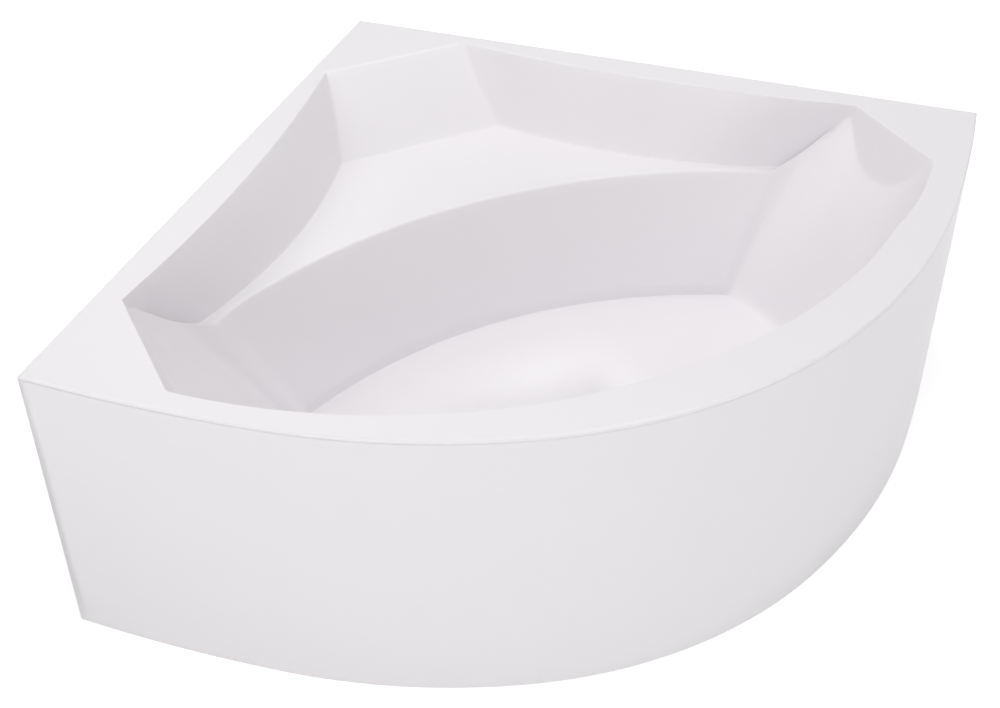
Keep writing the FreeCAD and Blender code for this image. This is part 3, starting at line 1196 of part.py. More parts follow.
shaped("tub_shell", tub_shell())
base_board()
seat_board()
rim_batten("left")
rim_batten("back")
rim_batten_front()
wall_brackets()
front_panel()
panel_clips()
for rail_name, rail_place in RAILS:
    rail(rail_name, rail_place)
rail_fittings()
seat_leg()
for foot_number, (foot_x, foot_y, on_rail) in enumerate(FEET, start=1):
    foot(foot_number, foot_x, foot_y, on_rail)
waste_set()
trap()
overflow_set()
overflow_body()
overflow_pipe()
check_and_write()
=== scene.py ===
"""Corner bathtub in white acrylic: smooth bowl, bowed front panel, boards, frame, feet and waste.

The bowl and the panel are shaped in the tub's own diagonal frame: x to the right along the chord between
the two ends of the front, y from the chord towards the wall corner, z up. to_walls turns them 45 degrees
into the frame of the room's walls.
"""
import json
import math
from collections import namedtuple

import bmesh
import bpy
import numpy as np
from mathutils import Matrix, Vector


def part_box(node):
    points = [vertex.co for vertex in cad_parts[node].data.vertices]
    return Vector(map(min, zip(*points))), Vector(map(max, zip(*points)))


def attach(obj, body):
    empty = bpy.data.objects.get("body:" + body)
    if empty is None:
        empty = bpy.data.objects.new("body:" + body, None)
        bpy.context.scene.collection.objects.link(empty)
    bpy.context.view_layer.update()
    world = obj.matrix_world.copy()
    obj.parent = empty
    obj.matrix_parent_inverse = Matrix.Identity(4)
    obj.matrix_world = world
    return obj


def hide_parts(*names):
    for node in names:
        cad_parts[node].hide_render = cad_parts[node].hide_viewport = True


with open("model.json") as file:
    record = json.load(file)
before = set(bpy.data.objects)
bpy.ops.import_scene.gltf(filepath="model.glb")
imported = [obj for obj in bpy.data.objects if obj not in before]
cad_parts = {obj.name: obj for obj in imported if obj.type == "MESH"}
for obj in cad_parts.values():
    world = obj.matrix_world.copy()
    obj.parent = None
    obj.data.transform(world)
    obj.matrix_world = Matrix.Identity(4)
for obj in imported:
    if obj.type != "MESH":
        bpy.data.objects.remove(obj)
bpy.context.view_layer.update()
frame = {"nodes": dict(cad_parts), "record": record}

# ---------------------------------------------------------------- sizes in metres
SHELL_LOW, SHELL_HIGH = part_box("tub_shell")
RIM_TOP = SHELL_HIGH.z
JOINT_OVERLAP = 0.00025  # closes the hairline between the panel and the rim
PANEL_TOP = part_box("front_panel")[1].z + JOINT_OVERLAP
WALL_SIDE = 1.400
HALF_CHORD = WALL_SIDE / math.sqrt(2)
WALL_SHIFT = (SHELL_HIGH.x - SHELL_LOW.x - WALL_SIDE) / 2
ACRYLIC = 0.0052
PANEL_SKIN = 0.004
PANEL_FLANGE = 0.016
PANEL_EDGE = 0.0015  # size of the softened lower edge
RIM_EDGE = 0.004  # radius of the rounded rim edge
RIM_BORDER = 0.0012  # flat strip just inside the rounded rim edge
WALL_LIP = 0.035  # how far the rim turns down, along the walls and at the front
FRONT_LIP = 0.008
LIP_NOTCH = 0.030  # the deep lip stops this far from the tub's two ends
WALL_TOUCH = 0.002  # a point of the rim as close as this to a wall counts as on it

# front outline: radius and the angle at which each stretch ends, from the middle outwards
NOSE = (0.910, math.radians(19.18))
FLANK = (1.242, math.radians(40.36))
TOE_ANGLE = math.radians(47.41)

# seat, deck in the corner, and the two leaning ends
SEAT_LEVEL = 0.430
FLOOR_LEVEL = 0.180
DECK_HALF = 0.165
DECK_REACH = 0.776
DECK_FOOT = 0.640
END_REACH = 0.782
END_LEAN = 0.30
# where each end's straight edge meets the curved front of the bowl at the rim
RIGHT_END_FRONT = -0.128
LEFT_END_FRONT = -0.145
# each wall beside the seat: distance from the tub's edge at the deck and at the end, and its bow between
WALL_MARGINS = (0.035, 0.052, 0.028)
SEAT_MARGINS = (0.110, 0.062, 0.0525)
# the seat stops at its tips, where the backrest rises from seat level to rim level
SEAT_TIP = 0.200
SEAT_TIP_TOP = 0.135

# footwell: its front is shifted to the left of the tub's middle
FRONT_SHIFT = 0.030
Well = namedtuple("Well", "front front_radius front_angle end end_radius back back_radius corner_radius")
FLOOR_WELL = Well(front=0.352, front_radius=0.800, front_angle=math.radians(30.0), end=0.535,
                  end_radius=0.280, back=0.273, back_radius=1.031, corner_radius=0.060)
RIM_WELL = Well(front=0.462, front_radius=1.050, front_angle=math.radians(35.0), end=0.828,
                end_radius=0.207, back=0.437, back_radius=1.409, corner_radius=0.400)
RIM_CORNER = 0.755
RIM_CORNER_SOFTNESS = math.radians(1.4)
CENTRE = (-0.010, -0.040)  # the bowl's spokes start here
FOOT_BAND = 0.022  # height of the steep band at the foot of the seat's front wall
FOOT_BAND_SLOPE = 6.0
LEAST_BAND = 0.0005
# directions over which the band sets in, and the foot's softer turn gives way to a crisp one
BAND_END = (math.radians(19.0), math.radians(20.0))
SOFT_FOOT = (math.radians(15.0), math.radians(21.0))

# how far two surfaces of the bowl run into each other
BACKREST_BLEND = 0.012
RIDGE_BLEND = 0.009
DECK_BLEND = 0.004
END_BLEND = 0.003
SEAT_FOOT_BLEND = 0.004
BAND_BLEND = 0.004
FOOT_BLEND_ENDS = 0.020
FOOT_BLEND_BEHIND = 0.004
RIM_BLEND = 0.004

# holes for the waste and the overflow, as on the frame
DRAIN = (-FRONT_SHIFT, -0.235)
DRAIN_RADIUS = 0.026
OVERFLOW = (-FRONT_SHIFT, -0.442, 0.512)
OVERFLOW_RADIUS = 0.025

# mesh of the bowl
RING_COUNT = 83
SPOKE_COUNT = 540
PROFILE_SAMPLES = 900
DIRECTION_SAMPLES = 20001
CORNER_PULL = 1.6  # extra share of spokes at a corner, fading over CORNER_SPAN
CORNER_SPAN = 0.04
BEND_PULL = 0.050  # metres of profile that one radian of bend counts for
BEND_SPAN = 5  # samples to each side over which a bend is spread
FLOOR_BORDER = 0.030  # the last ring lies this far in on the flat floor
FAR = 9.0  # beyond every edge of the tub
TINY = 1e-6


# ---------------------------------------------------------------- curves in plan
def on_circle(centre, radius, angle):
    """A point of an arc, with its angle counted from the front, seen from above."""
    return centre[0] + radius * math.sin(angle), centre[1] - radius * math.cos(angle)


def front_curve(inset, count=240, spare=0.0):
    """The bowed front from left to right, moved inwards, with a little to spare at its ends."""
    (nose_radius, nose_angle), (flank_radius, flank_angle) = NOSE, FLANK
    nose_span = nose_radius * math.sin(nose_angle)
    flank_span = flank_radius * (math.sin(flank_angle) - math.sin(nose_angle))
    toe_radius = (HALF_CHORD - nose_span - flank_span) / (math.sin(TOE_ANGLE) - math.sin(flank_angle))
    reach = (nose_radius * (1 - math.cos(nose_angle))
             + flank_radius * (math.cos(nose_angle) - math.cos(flank_angle))
             + toe_radius * (math.cos(flank_angle) - math.cos(TOE_ANGLE)))
    points = []
    last = TOE_ANGLE + spare
    for step in range(count + 1):
        angle = -last + 2 * last * step / count
        side = math.copysign(1.0, angle)
        centre = Vector((0, nose_radius - reach))
        radius = nose_radius
        if abs(angle) > nose_angle:
            out = Vector((side * math.sin(nose_angle), -math.cos(nose_angle)))
            centre = centre + out * (nose_radius - flank_radius)
            radius = flank_radius
        if abs(angle) > flank_angle:
            out = Vector((side * math.sin(flank_angle), -math.cos(flank_angle)))
            centre = centre + out * (flank_radius - toe_radius)
            radius = toe_radius
        points.append(on_circle(centre, radius - inset, angle))
    return points


def circles_cross(first, first_radius, second, second_radius, side):
    """The crossing of two circles that lies farther out on the given side."""
    gap = Vector(second) - Vector(first)
    along = (gap.length ** 2 + first_radius ** 2 - second_radius ** 2) / (2 * gap.length)
    across = math.sqrt(first_radius ** 2 - along ** 2)
    unit = gap.normalized()
    normal = Vector((-unit.y, unit.x))
    meets = [Vector(first) + unit * along + normal * across * sign for sign in (-1, 1)]
    return max(meets, key=lambda point: side * point.x)


def arc_points(centre, radius, start, end, count=60):
    """An arc between two directions from its centre, the short way round."""
    first = math.atan2(start[1] - centre[1], start[0] - centre[0])
    turn = math.atan2(end[1] - centre[1], end[0] - centre[0]) - first
    turn = (turn + math.pi) % (2 * math.pi) - math.pi
    return [(centre[0] + radius * math.cos(first + turn * k / count),
             centre[1] + radius * math.sin(first + turn * k / count)) for k in range(count + 1)]


def well_outline(well):
    """The footwell's outline at one level, the same arcs as on the frame's bowl."""
    front_centre = Vector((-FRONT_SHIFT, well.front_radius - well.front))
    back_centre = Vector((0, well.back - well.back_radius))
    inner = well.end - well.end_radius
    slant = Vector((math.sin(well.front_angle), -math.cos(well.front_angle)))
    curve_end = front_centre + slant * well.front_radius
    lift = (slant.dot(curve_end) - well.end_radius - slant.x * inner) / slant.y
    right = Vector((inner, lift))
    across = -inner - front_centre.x
    drop = math.sqrt((well.front_radius - well.end_radius) ** 2 - across ** 2)
    left = Vector((-inner, front_centre.y - drop))
    tighter = math.copysign(1, well.end_radius - well.corner_radius)
    touches = {}
    for side, centre in ((-1, left), (1, right)):
        corner = circles_cross(centre, well.end_radius - well.corner_radius,
                               back_centre, well.back_radius - well.corner_radius, side * tighter)
        touches[side] = (corner, centre + (corner - centre).normalized() * well.end_radius * tighter,
                         back_centre + (corner - back_centre).normalized() * well.back_radius)
    left_touch = front_centre + (left - front_centre).normalized() * well.front_radius
    right_end = right + slant * well.end_radius
    points = arc_points(back_centre, well.back_radius, touches[-1][2], touches[1][2])
    points += arc_points(touches[1][0], well.corner_radius, touches[1][2], touches[1][1])
    points += arc_points(right, well.end_radius, touches[1][1], right_end)
    points += arc_points(front_centre, well.front_radius, curve_end, left_touch)
    points += arc_points(left, well.end_radius, left_touch, touches[-1][1])
    points += arc_points(touches[-1][0], well.corner_radius, touches[-1][1], touches[-1][2])
    return points


def polar(points):
    """Distance from the bowl's centre to a curve, as a function of direction."""
    offsets = np.array(points) - np.array(CENTRE)
    angles = np.arctan2(offsets[:, 1], offsets[:, 0])
    order = np.argsort(angles)
    angles = angles[order]
    reach = np.hypot(offsets[:, 0], offsets[:, 1])[order]
    angles = np.concatenate([angles[-3:] - 2 * math.pi, angles, angles[:3] + 2 * math.pi])
    reach = np.concatenate([reach[-3:], reach, reach[:3]])
    return lambda direction: np.interp(direction, angles, reach)


def backrest_side(side):
    """The side of the backrest at rim level: a straight run from the rounded end to the seat's side."""
    end_radius, back_radius, slant = RIM_WELL.end_radius, RIM_WELL.back_radius, RIM_WELL.front_angle
    inner = RIM_WELL.end - end_radius
    run = (RIM_WELL.front_radius + (RIM_WELL.front - RIM_WELL.front_radius) * math.cos(slant)
           - FRONT_SHIFT * math.sin(slant))
    lift = (end_radius + inner * math.sin(slant) - run) / math.cos(slant)
    centre = Vector((side * inner, lift))
    corner_y = RIM_WELL.back - back_radius + math.sqrt(back_radius ** 2 - RIM_CORNER ** 2)
    corner = Vector((side * RIM_CORNER, corner_y))
    away = corner - centre
    turn = math.atan2(away.y, away.x) - side * math.acos(end_radius / away.length)
    touch = centre + Vector((math.cos(turn), math.sin(turn))) * end_radius
    steps = 16
    return [tuple(touch.lerp(corner, k / steps)) for k in range(steps + 1)]


def eased(reach, spread):
    """The mean of a reach over seven directions close by, which softens its corners."""
    shifts = [spread * k / 3 for k in range(-3, 4)]
    return lambda direction: sum(reach(direction + shift) for shift in shifts) / len(shifts)


def rim_outline():
    """The rounded outline, with the backrests' sides drawn out to their corners."""
    sides = {side: backrest_side(side) for side in (-1, 1)}
    rounded = []
    for x, y in well_outline(RIM_WELL):
        straight = sides[math.copysign(1, x)]
        touch, corner = straight[0], straight[-1]
        beside_straight = abs(x) > abs(corner[0]) or y < corner[1]
        if y <= touch[1] or not beside_straight:
            rounded.append((x, y))
    return rounded + sides[-1] + sides[1]


floor_reach = polar(well_outline(FLOOR_WELL))
rim_reach = eased(polar(rim_outline()), RIM_CORNER_SOFTNESS)


def from_back(direction):
    """The same direction, counted from the back, so that the whole front lies in one run."""
    return np.where(direction > math.pi / 2, direction - 2 * math.pi, direction)


def outline_reach(inset):
    """Distance from the centre to the tub's outline, moved inwards, as a function of direction."""
    front = front_curve(inset, count=720, spare=math.radians(6))
    offsets = np.array(front) - np.array(CENTRE)
    front_angles = from_back(np.arctan2(offsets[:, 1], offsets[:, 0]))
    front_lengths = np.hypot(offsets[:, 0], offsets[:, 1])
    wall = HALF_CHORD - inset * math.sqrt(2)

    def reach(direction):
        across, up = np.cos(direction), np.sin(direction)
        result = np.interp(from_back(direction), front_angles, front_lengths, left=FAR, right=FAR)
        for side in (-1, 1):
            facing = side * across + up
            room = wall - side * CENTRE[0] - CENTRE[1]
            result = np.minimum(result, np.where(facing > TINY, room / np.maximum(facing, TINY), FAR))
        return result

    return reach


# ---------------------------------------------------------------- height of the acrylic over the plan
def smooth_max(a, b, blend):
    return np.maximum(a, b) + np.clip(blend - np.abs(a - b), 0, None) ** 2 / (4 * blend)


def smooth_min(a, b, blend):
    return -smooth_max(-a, -b, blend)


def smooth_step(start, end, value):
    share = np.clip((value - start) / (end - start), 0, 1)
    return share * share * (3 - 2 * share)


def behind_ends(direction, start, end):
    """1 along the seat's side of the footwell, 0 at both ends and at the front."""
    return smooth_step(start, end, direction) * smooth_step(start, end, math.pi - direction)


def wall_height(x, y):
    """The two bowed walls beside the seat."""
    from_wall = (HALF_CHORD - np.abs(x) - y) / math.sqrt(2)
    along = (np.abs(x) - y) / math.sqrt(2)
    start_top = (DECK_HALF - DECK_REACH) / math.sqrt(2)
    end_top = (2 * END_REACH - HALF_CHORD) / math.sqrt(2) + WALL_MARGINS[1]
    start_low = (HALF_CHORD - 2 * DECK_FOOT) / math.sqrt(2) - SEAT_MARGINS[0]
    end_foot = END_REACH - END_LEAN * (RIM_TOP - SEAT_LEVEL)
    end_low = (2 * end_foot - HALF_CHORD) / math.sqrt(2) + SEAT_MARGINS[1]

    def margin(sizes, start, end):
        share = np.clip((along - start) / (end - start), 0, 1)
        return sizes[0] + (sizes[1] - sizes[0]) * share + 4 * sizes[2] * share * (1 - share)

    low = margin(SEAT_MARGINS, start_low, end_low)
    top = margin(WALL_MARGINS, start_top, end_top)
    return SEAT_LEVEL + (low - from_wall) / (low - top) * (RIM_TOP - SEAT_LEVEL)


def well_height(x, y):
    """The footwell's wall, with a steep band at its foot below the seat."""
    offset_x, offset_y = x - CENTRE[0], y - CENTRE[1]
    direction = np.arctan2(offset_y, offset_x)
    low, top = floor_reach(direction), rim_reach(direction)
    out = np.hypot(offset_x, offset_y) - low
    run = top - low
    rise = RIM_TOP - FLOOR_LEVEL
    band = FOOT_BAND * behind_ends(direction, *BAND_END)
    band_run = band / FOOT_BAND_SLOPE
    upper = FLOOR_LEVEL + band + (out - band_run) * (rise - band) / (run - band_run)
    steep = FLOOR_LEVEL + out * FOOT_BAND_SLOPE
    out_of_play = upper + 1.0
    return smooth_min(upper, np.where(band > LEAST_BAND, steep, out_of_play), BAND_BLEND)


def bowl_height(x, y):
    """The height of the acrylic's upper face over any point of the plan."""
    rise = RIM_TOP - SEAT_LEVEL
    deck = SEAT_LEVEL + (y - DECK_FOOT) / (DECK_REACH - DECK_FOOT) * rise
    end = RIM_TOP - (END_REACH - np.abs(x)) / END_LEAN
    backrest = SEAT_LEVEL + (SEAT_TIP - y) / (SEAT_TIP - SEAT_TIP_TOP) * rise
    seat = smooth_max(backrest, np.full_like(x, SEAT_LEVEL), BACKREST_BLEND)
    inside = smooth_min(well_height(x, y), seat, RIDGE_BLEND)
    walls = smooth_max(smooth_max(wall_height(x, y), deck, DECK_BLEND), end, END_BLEND)
    inside = smooth_max(inside, walls, SEAT_FOOT_BLEND)
    direction = np.arctan2(y - CENTRE[1], x - CENTRE[0])
    softer = FOOT_BLEND_ENDS - FOOT_BLEND_BEHIND
    foot_blend = FOOT_BLEND_ENDS - softer * behind_ends(direction, *SOFT_FOOT)
    inside = smooth_max(inside, np.full_like(x, FLOOR_LEVEL), foot_blend)
    return smooth_min(inside, np.full_like(x, RIM_TOP), RIM_BLEND)


# ---------------------------------------------------------------- spokes and rings of the bowl
def spoke_directions():
    """Directions from the bowl's centre: closer together at the corners, and exactly on them."""
    end_back = HALF_CHORD - END_REACH - WALL_MARGINS[1] * math.sqrt(2)
    corners = [(DECK_HALF, DECK_REACH), (-DECK_HALF, DECK_REACH),
               (0, HALF_CHORD), (HALF_CHORD, 0), (-HALF_CHORD, 0),
               (END_REACH, end_back), (-END_REACH, end_back),
               (END_REACH, RIGHT_END_FRONT), (-END_REACH, LEFT_END_FRONT)]
    exact = sorted(math.atan2(y - CENTRE[1], x - CENTRE[0]) for x, y in corners)
    fine = np.linspace(-math.pi, math.pi, DIRECTION_SAMPLES)
    weight = outline_reach(0.0)(fine)
    for angle in exact:
        near = np.abs((fine - angle + math.pi) % (2 * math.pi) - math.pi) * weight
        weight = weight * (1 + CORNER_PULL * np.exp(-(near / CORNER_SPAN) ** 2))
    total = np.concatenate([[0], np.cumsum((weight[1:] + weight[:-1]) / 2)])
    directions = np.interp(np.arange(SPOKE_COUNT) / SPOKE_COUNT * total[-1], total, fine)
    for angle in exact:
        directions[np.argmin(np.abs(directions - angle))] = angle
    return directions


def rim_rings(directions):
    """Rings from the lip's lower edge, up the tub's side and over the rounded edge onto the rim."""
    across, up = np.cos(directions), np.sin(directions)
    edge = outline_reach(0.0)(directions)

    def ring(inset, height):
        reach = outline_reach(inset)(directions)
        return CENTRE[0] + reach * across, CENTRE[1] + reach * up, np.full_like(edge, height)

    rim_x, rim_y = ring(0.0, RIM_TOP)[:2]
    on_wall = (HALF_CHORD - np.abs(rim_x) - rim_y) < WALL_TOUCH
    far_from_end = rim_y * math.sqrt(2) > LIP_NOTCH
    lip = np.where(on_wall & far_from_end, WALL_LIP, FRONT_LIP)
    rings = [(rim_x, rim_y, RIM_TOP - lip), ring(0.0, RIM_TOP - RIM_EDGE)]
    for degrees in (30, 60, 90):
        turn = math.radians(degrees)
        rings.append(ring(RIM_EDGE * (1 - math.cos(turn)), RIM_TOP - RIM_EDGE * (1 - math.sin(turn))))
    return rings + [ring(RIM_EDGE + RIM_BORDER, RIM_TOP)]


def bowl_rings(directions):
    """Rings from the rim down to the tub's floor, closer together where the acrylic bends."""
    across, up = np.cos(directions), np.sin(directions)
    outer = outline_reach(RIM_EDGE + RIM_BORDER)(directions)
    inner = floor_reach(directions) - FLOOR_BORDER
    share = np.linspace(0, 1, PROFILE_SAMPLES)[:, None]
    reach = outer + (inner - outer) * share
    height = bowl_height(CENTRE[0] + reach * across, CENTRE[1] + reach * up)
    run = np.diff(reach, axis=0)
    rise = np.diff(height, axis=0)
    bend = np.abs(np.diff(np.arctan2(rise, -run), axis=0))
    length = np.hypot(run, rise)
    spread = np.zeros_like(length)
    edge = BEND_SPAN + 1
    for shift in range(-BEND_SPAN, BEND_SPAN + 1):
        spread[edge:-edge] += bend[BEND_SPAN + shift:shift - edge] / (2 * BEND_SPAN + 1)
    length += BEND_PULL * spread
    total = np.vstack([np.zeros_like(outer), np.cumsum(length, axis=0)])
    rings = []
    for ring in range(1, RING_COUNT + 1):
        radius = np.array([np.interp(total[-1, k] * ring / RING_COUNT, total[:, k], reach[:, k])
                           for k in range(len(directions))])
        x, y = CENTRE[0] + radius * across, CENTRE[1] + radius * up
        rings.append((x, y, bowl_height(x, y)))
    return rings


# ---------------------------------------------------------------- making pieces
def to_walls(x, y, z):
    """From the diagonal frame to the frame of the room's walls."""
    spread = math.sqrt(2)
    return Vector(((x - y) / spread - WALL_SHIFT, (x + y) / spread + WALL_SHIFT, z))


def loft(bm, rings, closed):
    """Lay the first ring, then draw it out to each next ring in turn."""
    verts = [bm.verts.new(to_walls(*point)) for point in zip(*rings[0])]
    pairs = list(zip(verts, verts[1:])) + ([(verts[-1], verts[0])] if closed else [])
    edges = [bm.edges.new(pair) for pair in pairs]
    for ring in rings[1:]:
        drawn = bmesh.ops.extrude_edge_only(bm, edges=edges)["geom"]
        edges = [e for e in drawn if isinstance(e, bmesh.types.BMEdge)]
        ordered = [v for v in drawn if isinstance(v, bmesh.types.BMVert)]
        for vert, point in zip(ordered, zip(*ring)):
            vert.co = to_walls(*point)
    return edges


def face_towards(bm, outwards, size):
    """Make all normals agree, and point the face that is largest by size the given way."""
    bmesh.ops.recalc_face_normals(bm, faces=bm.faces)
    if max(bm.faces, key=size).normal.dot(outwards) < 0:
        bmesh.ops.reverse_faces(bm, faces=bm.faces)


def open_round(bm, middle, axis, radius):
    """A round hole through the wall: the faces inside it go, and its edge is set on the circle."""
    def across(place):
        offset = place - middle
        return offset - axis * offset.dot(axis)

    def near(reach):
        return {vert for vert in bm.verts
                if (vert.co - middle).length < 3 * reach and across(vert.co).length < reach}

    # finer faces all round the hole, and then those inside it go
    close = near(radius * 1.8)
    edges = [edge for edge in bm.edges if close.issuperset(edge.verts)]
    bmesh.ops.subdivide_edges(bm, edges=edges, cuts=2, use_grid_fill=True)
    close = near(radius * 1.2)
    inside = [face for face in bm.faces
              if close.issuperset(face.verts) and across(face.calc_center_median()).length < radius]
    rim = {vert for face in inside for vert in face.verts}
    bmesh.ops.delete(bm, geom=inside, context="FACES")
    for vert in [vert for vert in rim if vert.is_valid]:
        offset = across(vert.co)
        vert.co += offset.normalized() * (radius - offset.length)


def skin_piece(name, bm, body, node, thickness, sharp_from):
    """A skin of acrylic in place of a CAD node, thickened inwards; edges past sharp_from degrees stay sharp."""
    mesh = bpy.data.meshes.new(name)
    bm.to_mesh(mesh)
    bm.free()
    piece = bpy.data.objects.new(name, mesh)
    bpy.context.scene.collection.objects.link(piece)
    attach(piece, body)
    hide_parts(node)
    wall = piece.modifiers.new("acrylic", "SOLIDIFY")
    wall.thickness = thickness
    wall.offset = -1
    mesh.polygons.foreach_set("use_smooth", [True] * len(mesh.polygons))
    mesh.set_sharp_from_angle(angle=math.radians(sharp_from))
    return piece


def make_tub():
    """The moulded bowl, with the holes for its waste and overflow."""
    bm = bmesh.new()
    directions = spoke_directions()
    foot_edges = loft(bm, rim_rings(directions) + bowl_rings(directions), True)
    drain_place = Matrix.Translation(to_walls(*DRAIN, FLOOR_LEVEL))
    drain = bmesh.ops.create_circle(bm, cap_ends=False, segments=64, radius=DRAIN_RADIUS,
                                    matrix=drain_place)
    drain_verts = set(drain["verts"])
    drain_edges = [edge for edge in bm.edges if drain_verts.issuperset(edge.verts)]
    bmesh.ops.triangle_fill(bm, edges=foot_edges + drain_edges, use_beauty=True)
    lean = math.atan((RIM_WELL.front - FLOOR_WELL.front) / (RIM_TOP - FLOOR_LEVEL))
    front_out = to_walls(0, -1, 0) - to_walls(0, 0, 0)
    overflow_axis = front_out * math.cos(lean) - Vector((0, 0, math.sin(lean)))
    open_round(bm, to_walls(*OVERFLOW), overflow_axis, OVERFLOW_RADIUS)
    face_towards(bm, Vector((0, 0, 1)), lambda face: face.calc_center_median().z + face.calc_area())
    return skin_piece("tub_bowl", bm, "tub", "tub_shell", ACRYLIC, sharp_from=50)


def panel_rings():
    """The panel's outer face, from the inner edge of its lower flange up and in to the upper flange."""
    corner_cut = PANEL_EDGE * 0.3  # close to what a round edge of that size leaves
    profile = [(PANEL_FLANGE, 0.0), (PANEL_EDGE, 0.0), (corner_cut, corner_cut), (0.0, PANEL_EDGE)]
    profile += [(0.0, PANEL_TOP * share) for share in (0.25, 0.5, 0.75, 1.0)]
    profile += [(PANEL_FLANGE, PANEL_TOP)]
    rings = []
    for inset, height in profile:
        curve = np.array(front_curve(inset))
        rings.append((curve[:, 0], curve[:, 1], np.full(len(curve), height)))
    return rings


def make_panel():
    """The bowed front panel, flanged inwards at its foot and under the rim."""
    bm = bmesh.new()
    loft(bm, panel_rings(), False)
    face_towards(bm, Vector((1, -1, 0)), lambda face: face.calc_area())
    return skin_piece("panel_skin", bm, "panel", "front_panel", PANEL_SKIN, sharp_from=25)


tub = make_tub()
panel = make_panel()


# ---------------------------------------------------------------- materials
def material(name):
    made = bpy.data.materials.new(name)
    made.use_nodes = True
    nodes = made.node_tree.nodes
    return made, nodes, made.node_tree.links, nodes["Principled BSDF"]


def computed(nodes, links, operation, *terms):
    """The output of a maths node whose inputs are sockets or plain numbers."""
    node = nodes.new("ShaderNodeMath")
    node.operation = operation
    for place, term in zip(node.inputs, terms):
        if isinstance(term, float):
            place.default_value = term
        else:
            links.new(term, place)
    return node.outputs[0]


def surface_variation_group():
    """Slow colour drift, fine unevenness and a height for the bump, all from the object's own place."""
    group = bpy.data.node_groups.new("surface variation", "ShaderNodeTree")
    put = group.interface.new_socket
    put("Colour", in_out="INPUT", socket_type="NodeSocketColor")
    for name in ("Drift", "Drift scale", "Roughness", "Roughness spread", "Grain scale"):
        put(name, in_out="INPUT", socket_type="NodeSocketFloat")
    put("Colour", in_out="OUTPUT", socket_type="NodeSocketColor")
    for name in ("Roughness", "Height"):
        put(name, in_out="OUTPUT", socket_type="NodeSocketFloat")
    nodes, links = group.nodes, group.links
    entry, leave = nodes.new("NodeGroupInput"), nodes.new("NodeGroupOutput")
    place = nodes.new("ShaderNodeTexCoord")

    def noise(scale, detail):
        texture = nodes.new("ShaderNodeTexNoise")
        texture.inputs["Detail"].default_value = detail
        links.new(place.outputs["Object"], texture.inputs["Vector"])
        links.new(entry.outputs[scale], texture.inputs["Scale"])
        return texture.outputs["Fac"]

    centred = computed(nodes, links, "SUBTRACT", noise("Drift scale", 3), 0.5)
    amount = computed(nodes, links, "MULTIPLY_ADD", centred, entry.outputs["Drift"], 1.0)
    tint = nodes.new("ShaderNodeVectorMath")
    tint.operation = "SCALE"
    links.new(entry.outputs["Colour"], tint.inputs[0])
    links.new(amount, tint.inputs["Scale"])
    rough = computed(nodes, links, "MULTIPLY_ADD", centred, entry.outputs["Roughness spread"],
                     entry.outputs["Roughness"])
    links.new(tint.outputs[0], leave.inputs["Colour"])
    links.new(rough, leave.inputs["Roughness"])
    links.new(noise("Grain scale", 2), leave.inputs["Height"])
    return group


variation = surface_variation_group()
RELIEF_DEPTH = 0.0005


def finished(name, colour, rough, drift=0.02, drift_scale=3.0, spread=0.05, grain=250.0, bump=0.02,
             **sockets):
    """A material whose colour, gloss and micro relief drift over the surface."""
    made, nodes, links, shader = material(name)
    mix = nodes.new("ShaderNodeGroup")
    mix.node_tree = variation
    mix.inputs["Colour"].default_value = (*colour, 1)
    mix.inputs["Drift"].default_value = drift
    mix.inputs["Drift scale"].default_value = drift_scale
    mix.inputs["Roughness"].default_value = rough
    mix.inputs["Roughness spread"].default_value = spread
    mix.inputs["Grain scale"].default_value = grain
    relief = nodes.new("ShaderNodeBump")
    relief.inputs["Strength"].default_value = bump
    relief.inputs["Distance"].default_value = RELIEF_DEPTH
    links.new(mix.outputs["Height"], relief.inputs["Height"])
    links.new(relief.outputs["Normal"], shader.inputs["Normal"])
    links.new(mix.outputs["Colour"], shader.inputs["Base Color"])
    links.new(mix.outputs["Roughness"], shader.inputs["Roughness"])
    for socket, value in sockets.items():
        shader.inputs[socket].default_value = value
    return made


WHITE = dict(colour=(0.89, 0.866, 0.89), rough=0.36, drift=0.012, spread=0.06, grain=90.0, bump=0.03)
SLOT_FINISH = {
    "acrylic": finished("white acrylic", **WHITE),
    "panel_acrylic": finished("panel acrylic", **WHITE),
    "board": finished("particle board", (0.45, 0.33, 0.20), 0.8,
                      drift=0.35, drift_scale=160, grain=900, bump=0.4),
    "painted_tube": finished("grey paint", (0.55, 0.56, 0.57), 0.35,
                             drift=0.06, drift_scale=20, bump=0.06),
    "black_plastic": finished("black plastic", (0.02, 0.02, 0.022), 0.5,
                              drift=0.2, drift_scale=40, bump=0.1),
    "zinc_steel": finished("zinc plated steel", (0.58, 0.59, 0.61), 0.35,
                           drift=0.12, drift_scale=60, bump=0.05, Metallic=1.0),
    "spring_steel": finished("spring steel", (0.33, 0.34, 0.36), 0.3,
                             drift=0.1, drift_scale=60, Metallic=1.0),
    "chrome": finished("chrome", (0.80, 0.81, 0.83), 0.06,
                       drift=0.01, drift_scale=30, spread=0.02, bump=0.0, Metallic=1.0),
    "brass": finished("brass", (0.60, 0.44, 0.20), 0.3,
                      drift=0.1, drift_scale=50, Metallic=1.0),
    "rubber": finished("black rubber", (0.025, 0.025, 0.025), 0.7,
                       drift=0.2, drift_scale=60, bump=0.15),
    "cable_sheath": finished("cable sheath", (0.05, 0.05, 0.055), 0.5,
                             drift=0.15, drift_scale=60, bump=0.1),
    "white_plastic": finished("white pipe plastic", (0.74, 0.74, 0.72), 0.4,
                              drift=0.05, drift_scale=25, bump=0.05),
}
tub.data.materials.append(SLOT_FINISH["acrylic"])
panel.data.materials.append(SLOT_FINISH["panel_acrylic"])
node_slots = {entry["node"]: entry["material_slot"] for entry in frame["record"]["subparts"]}
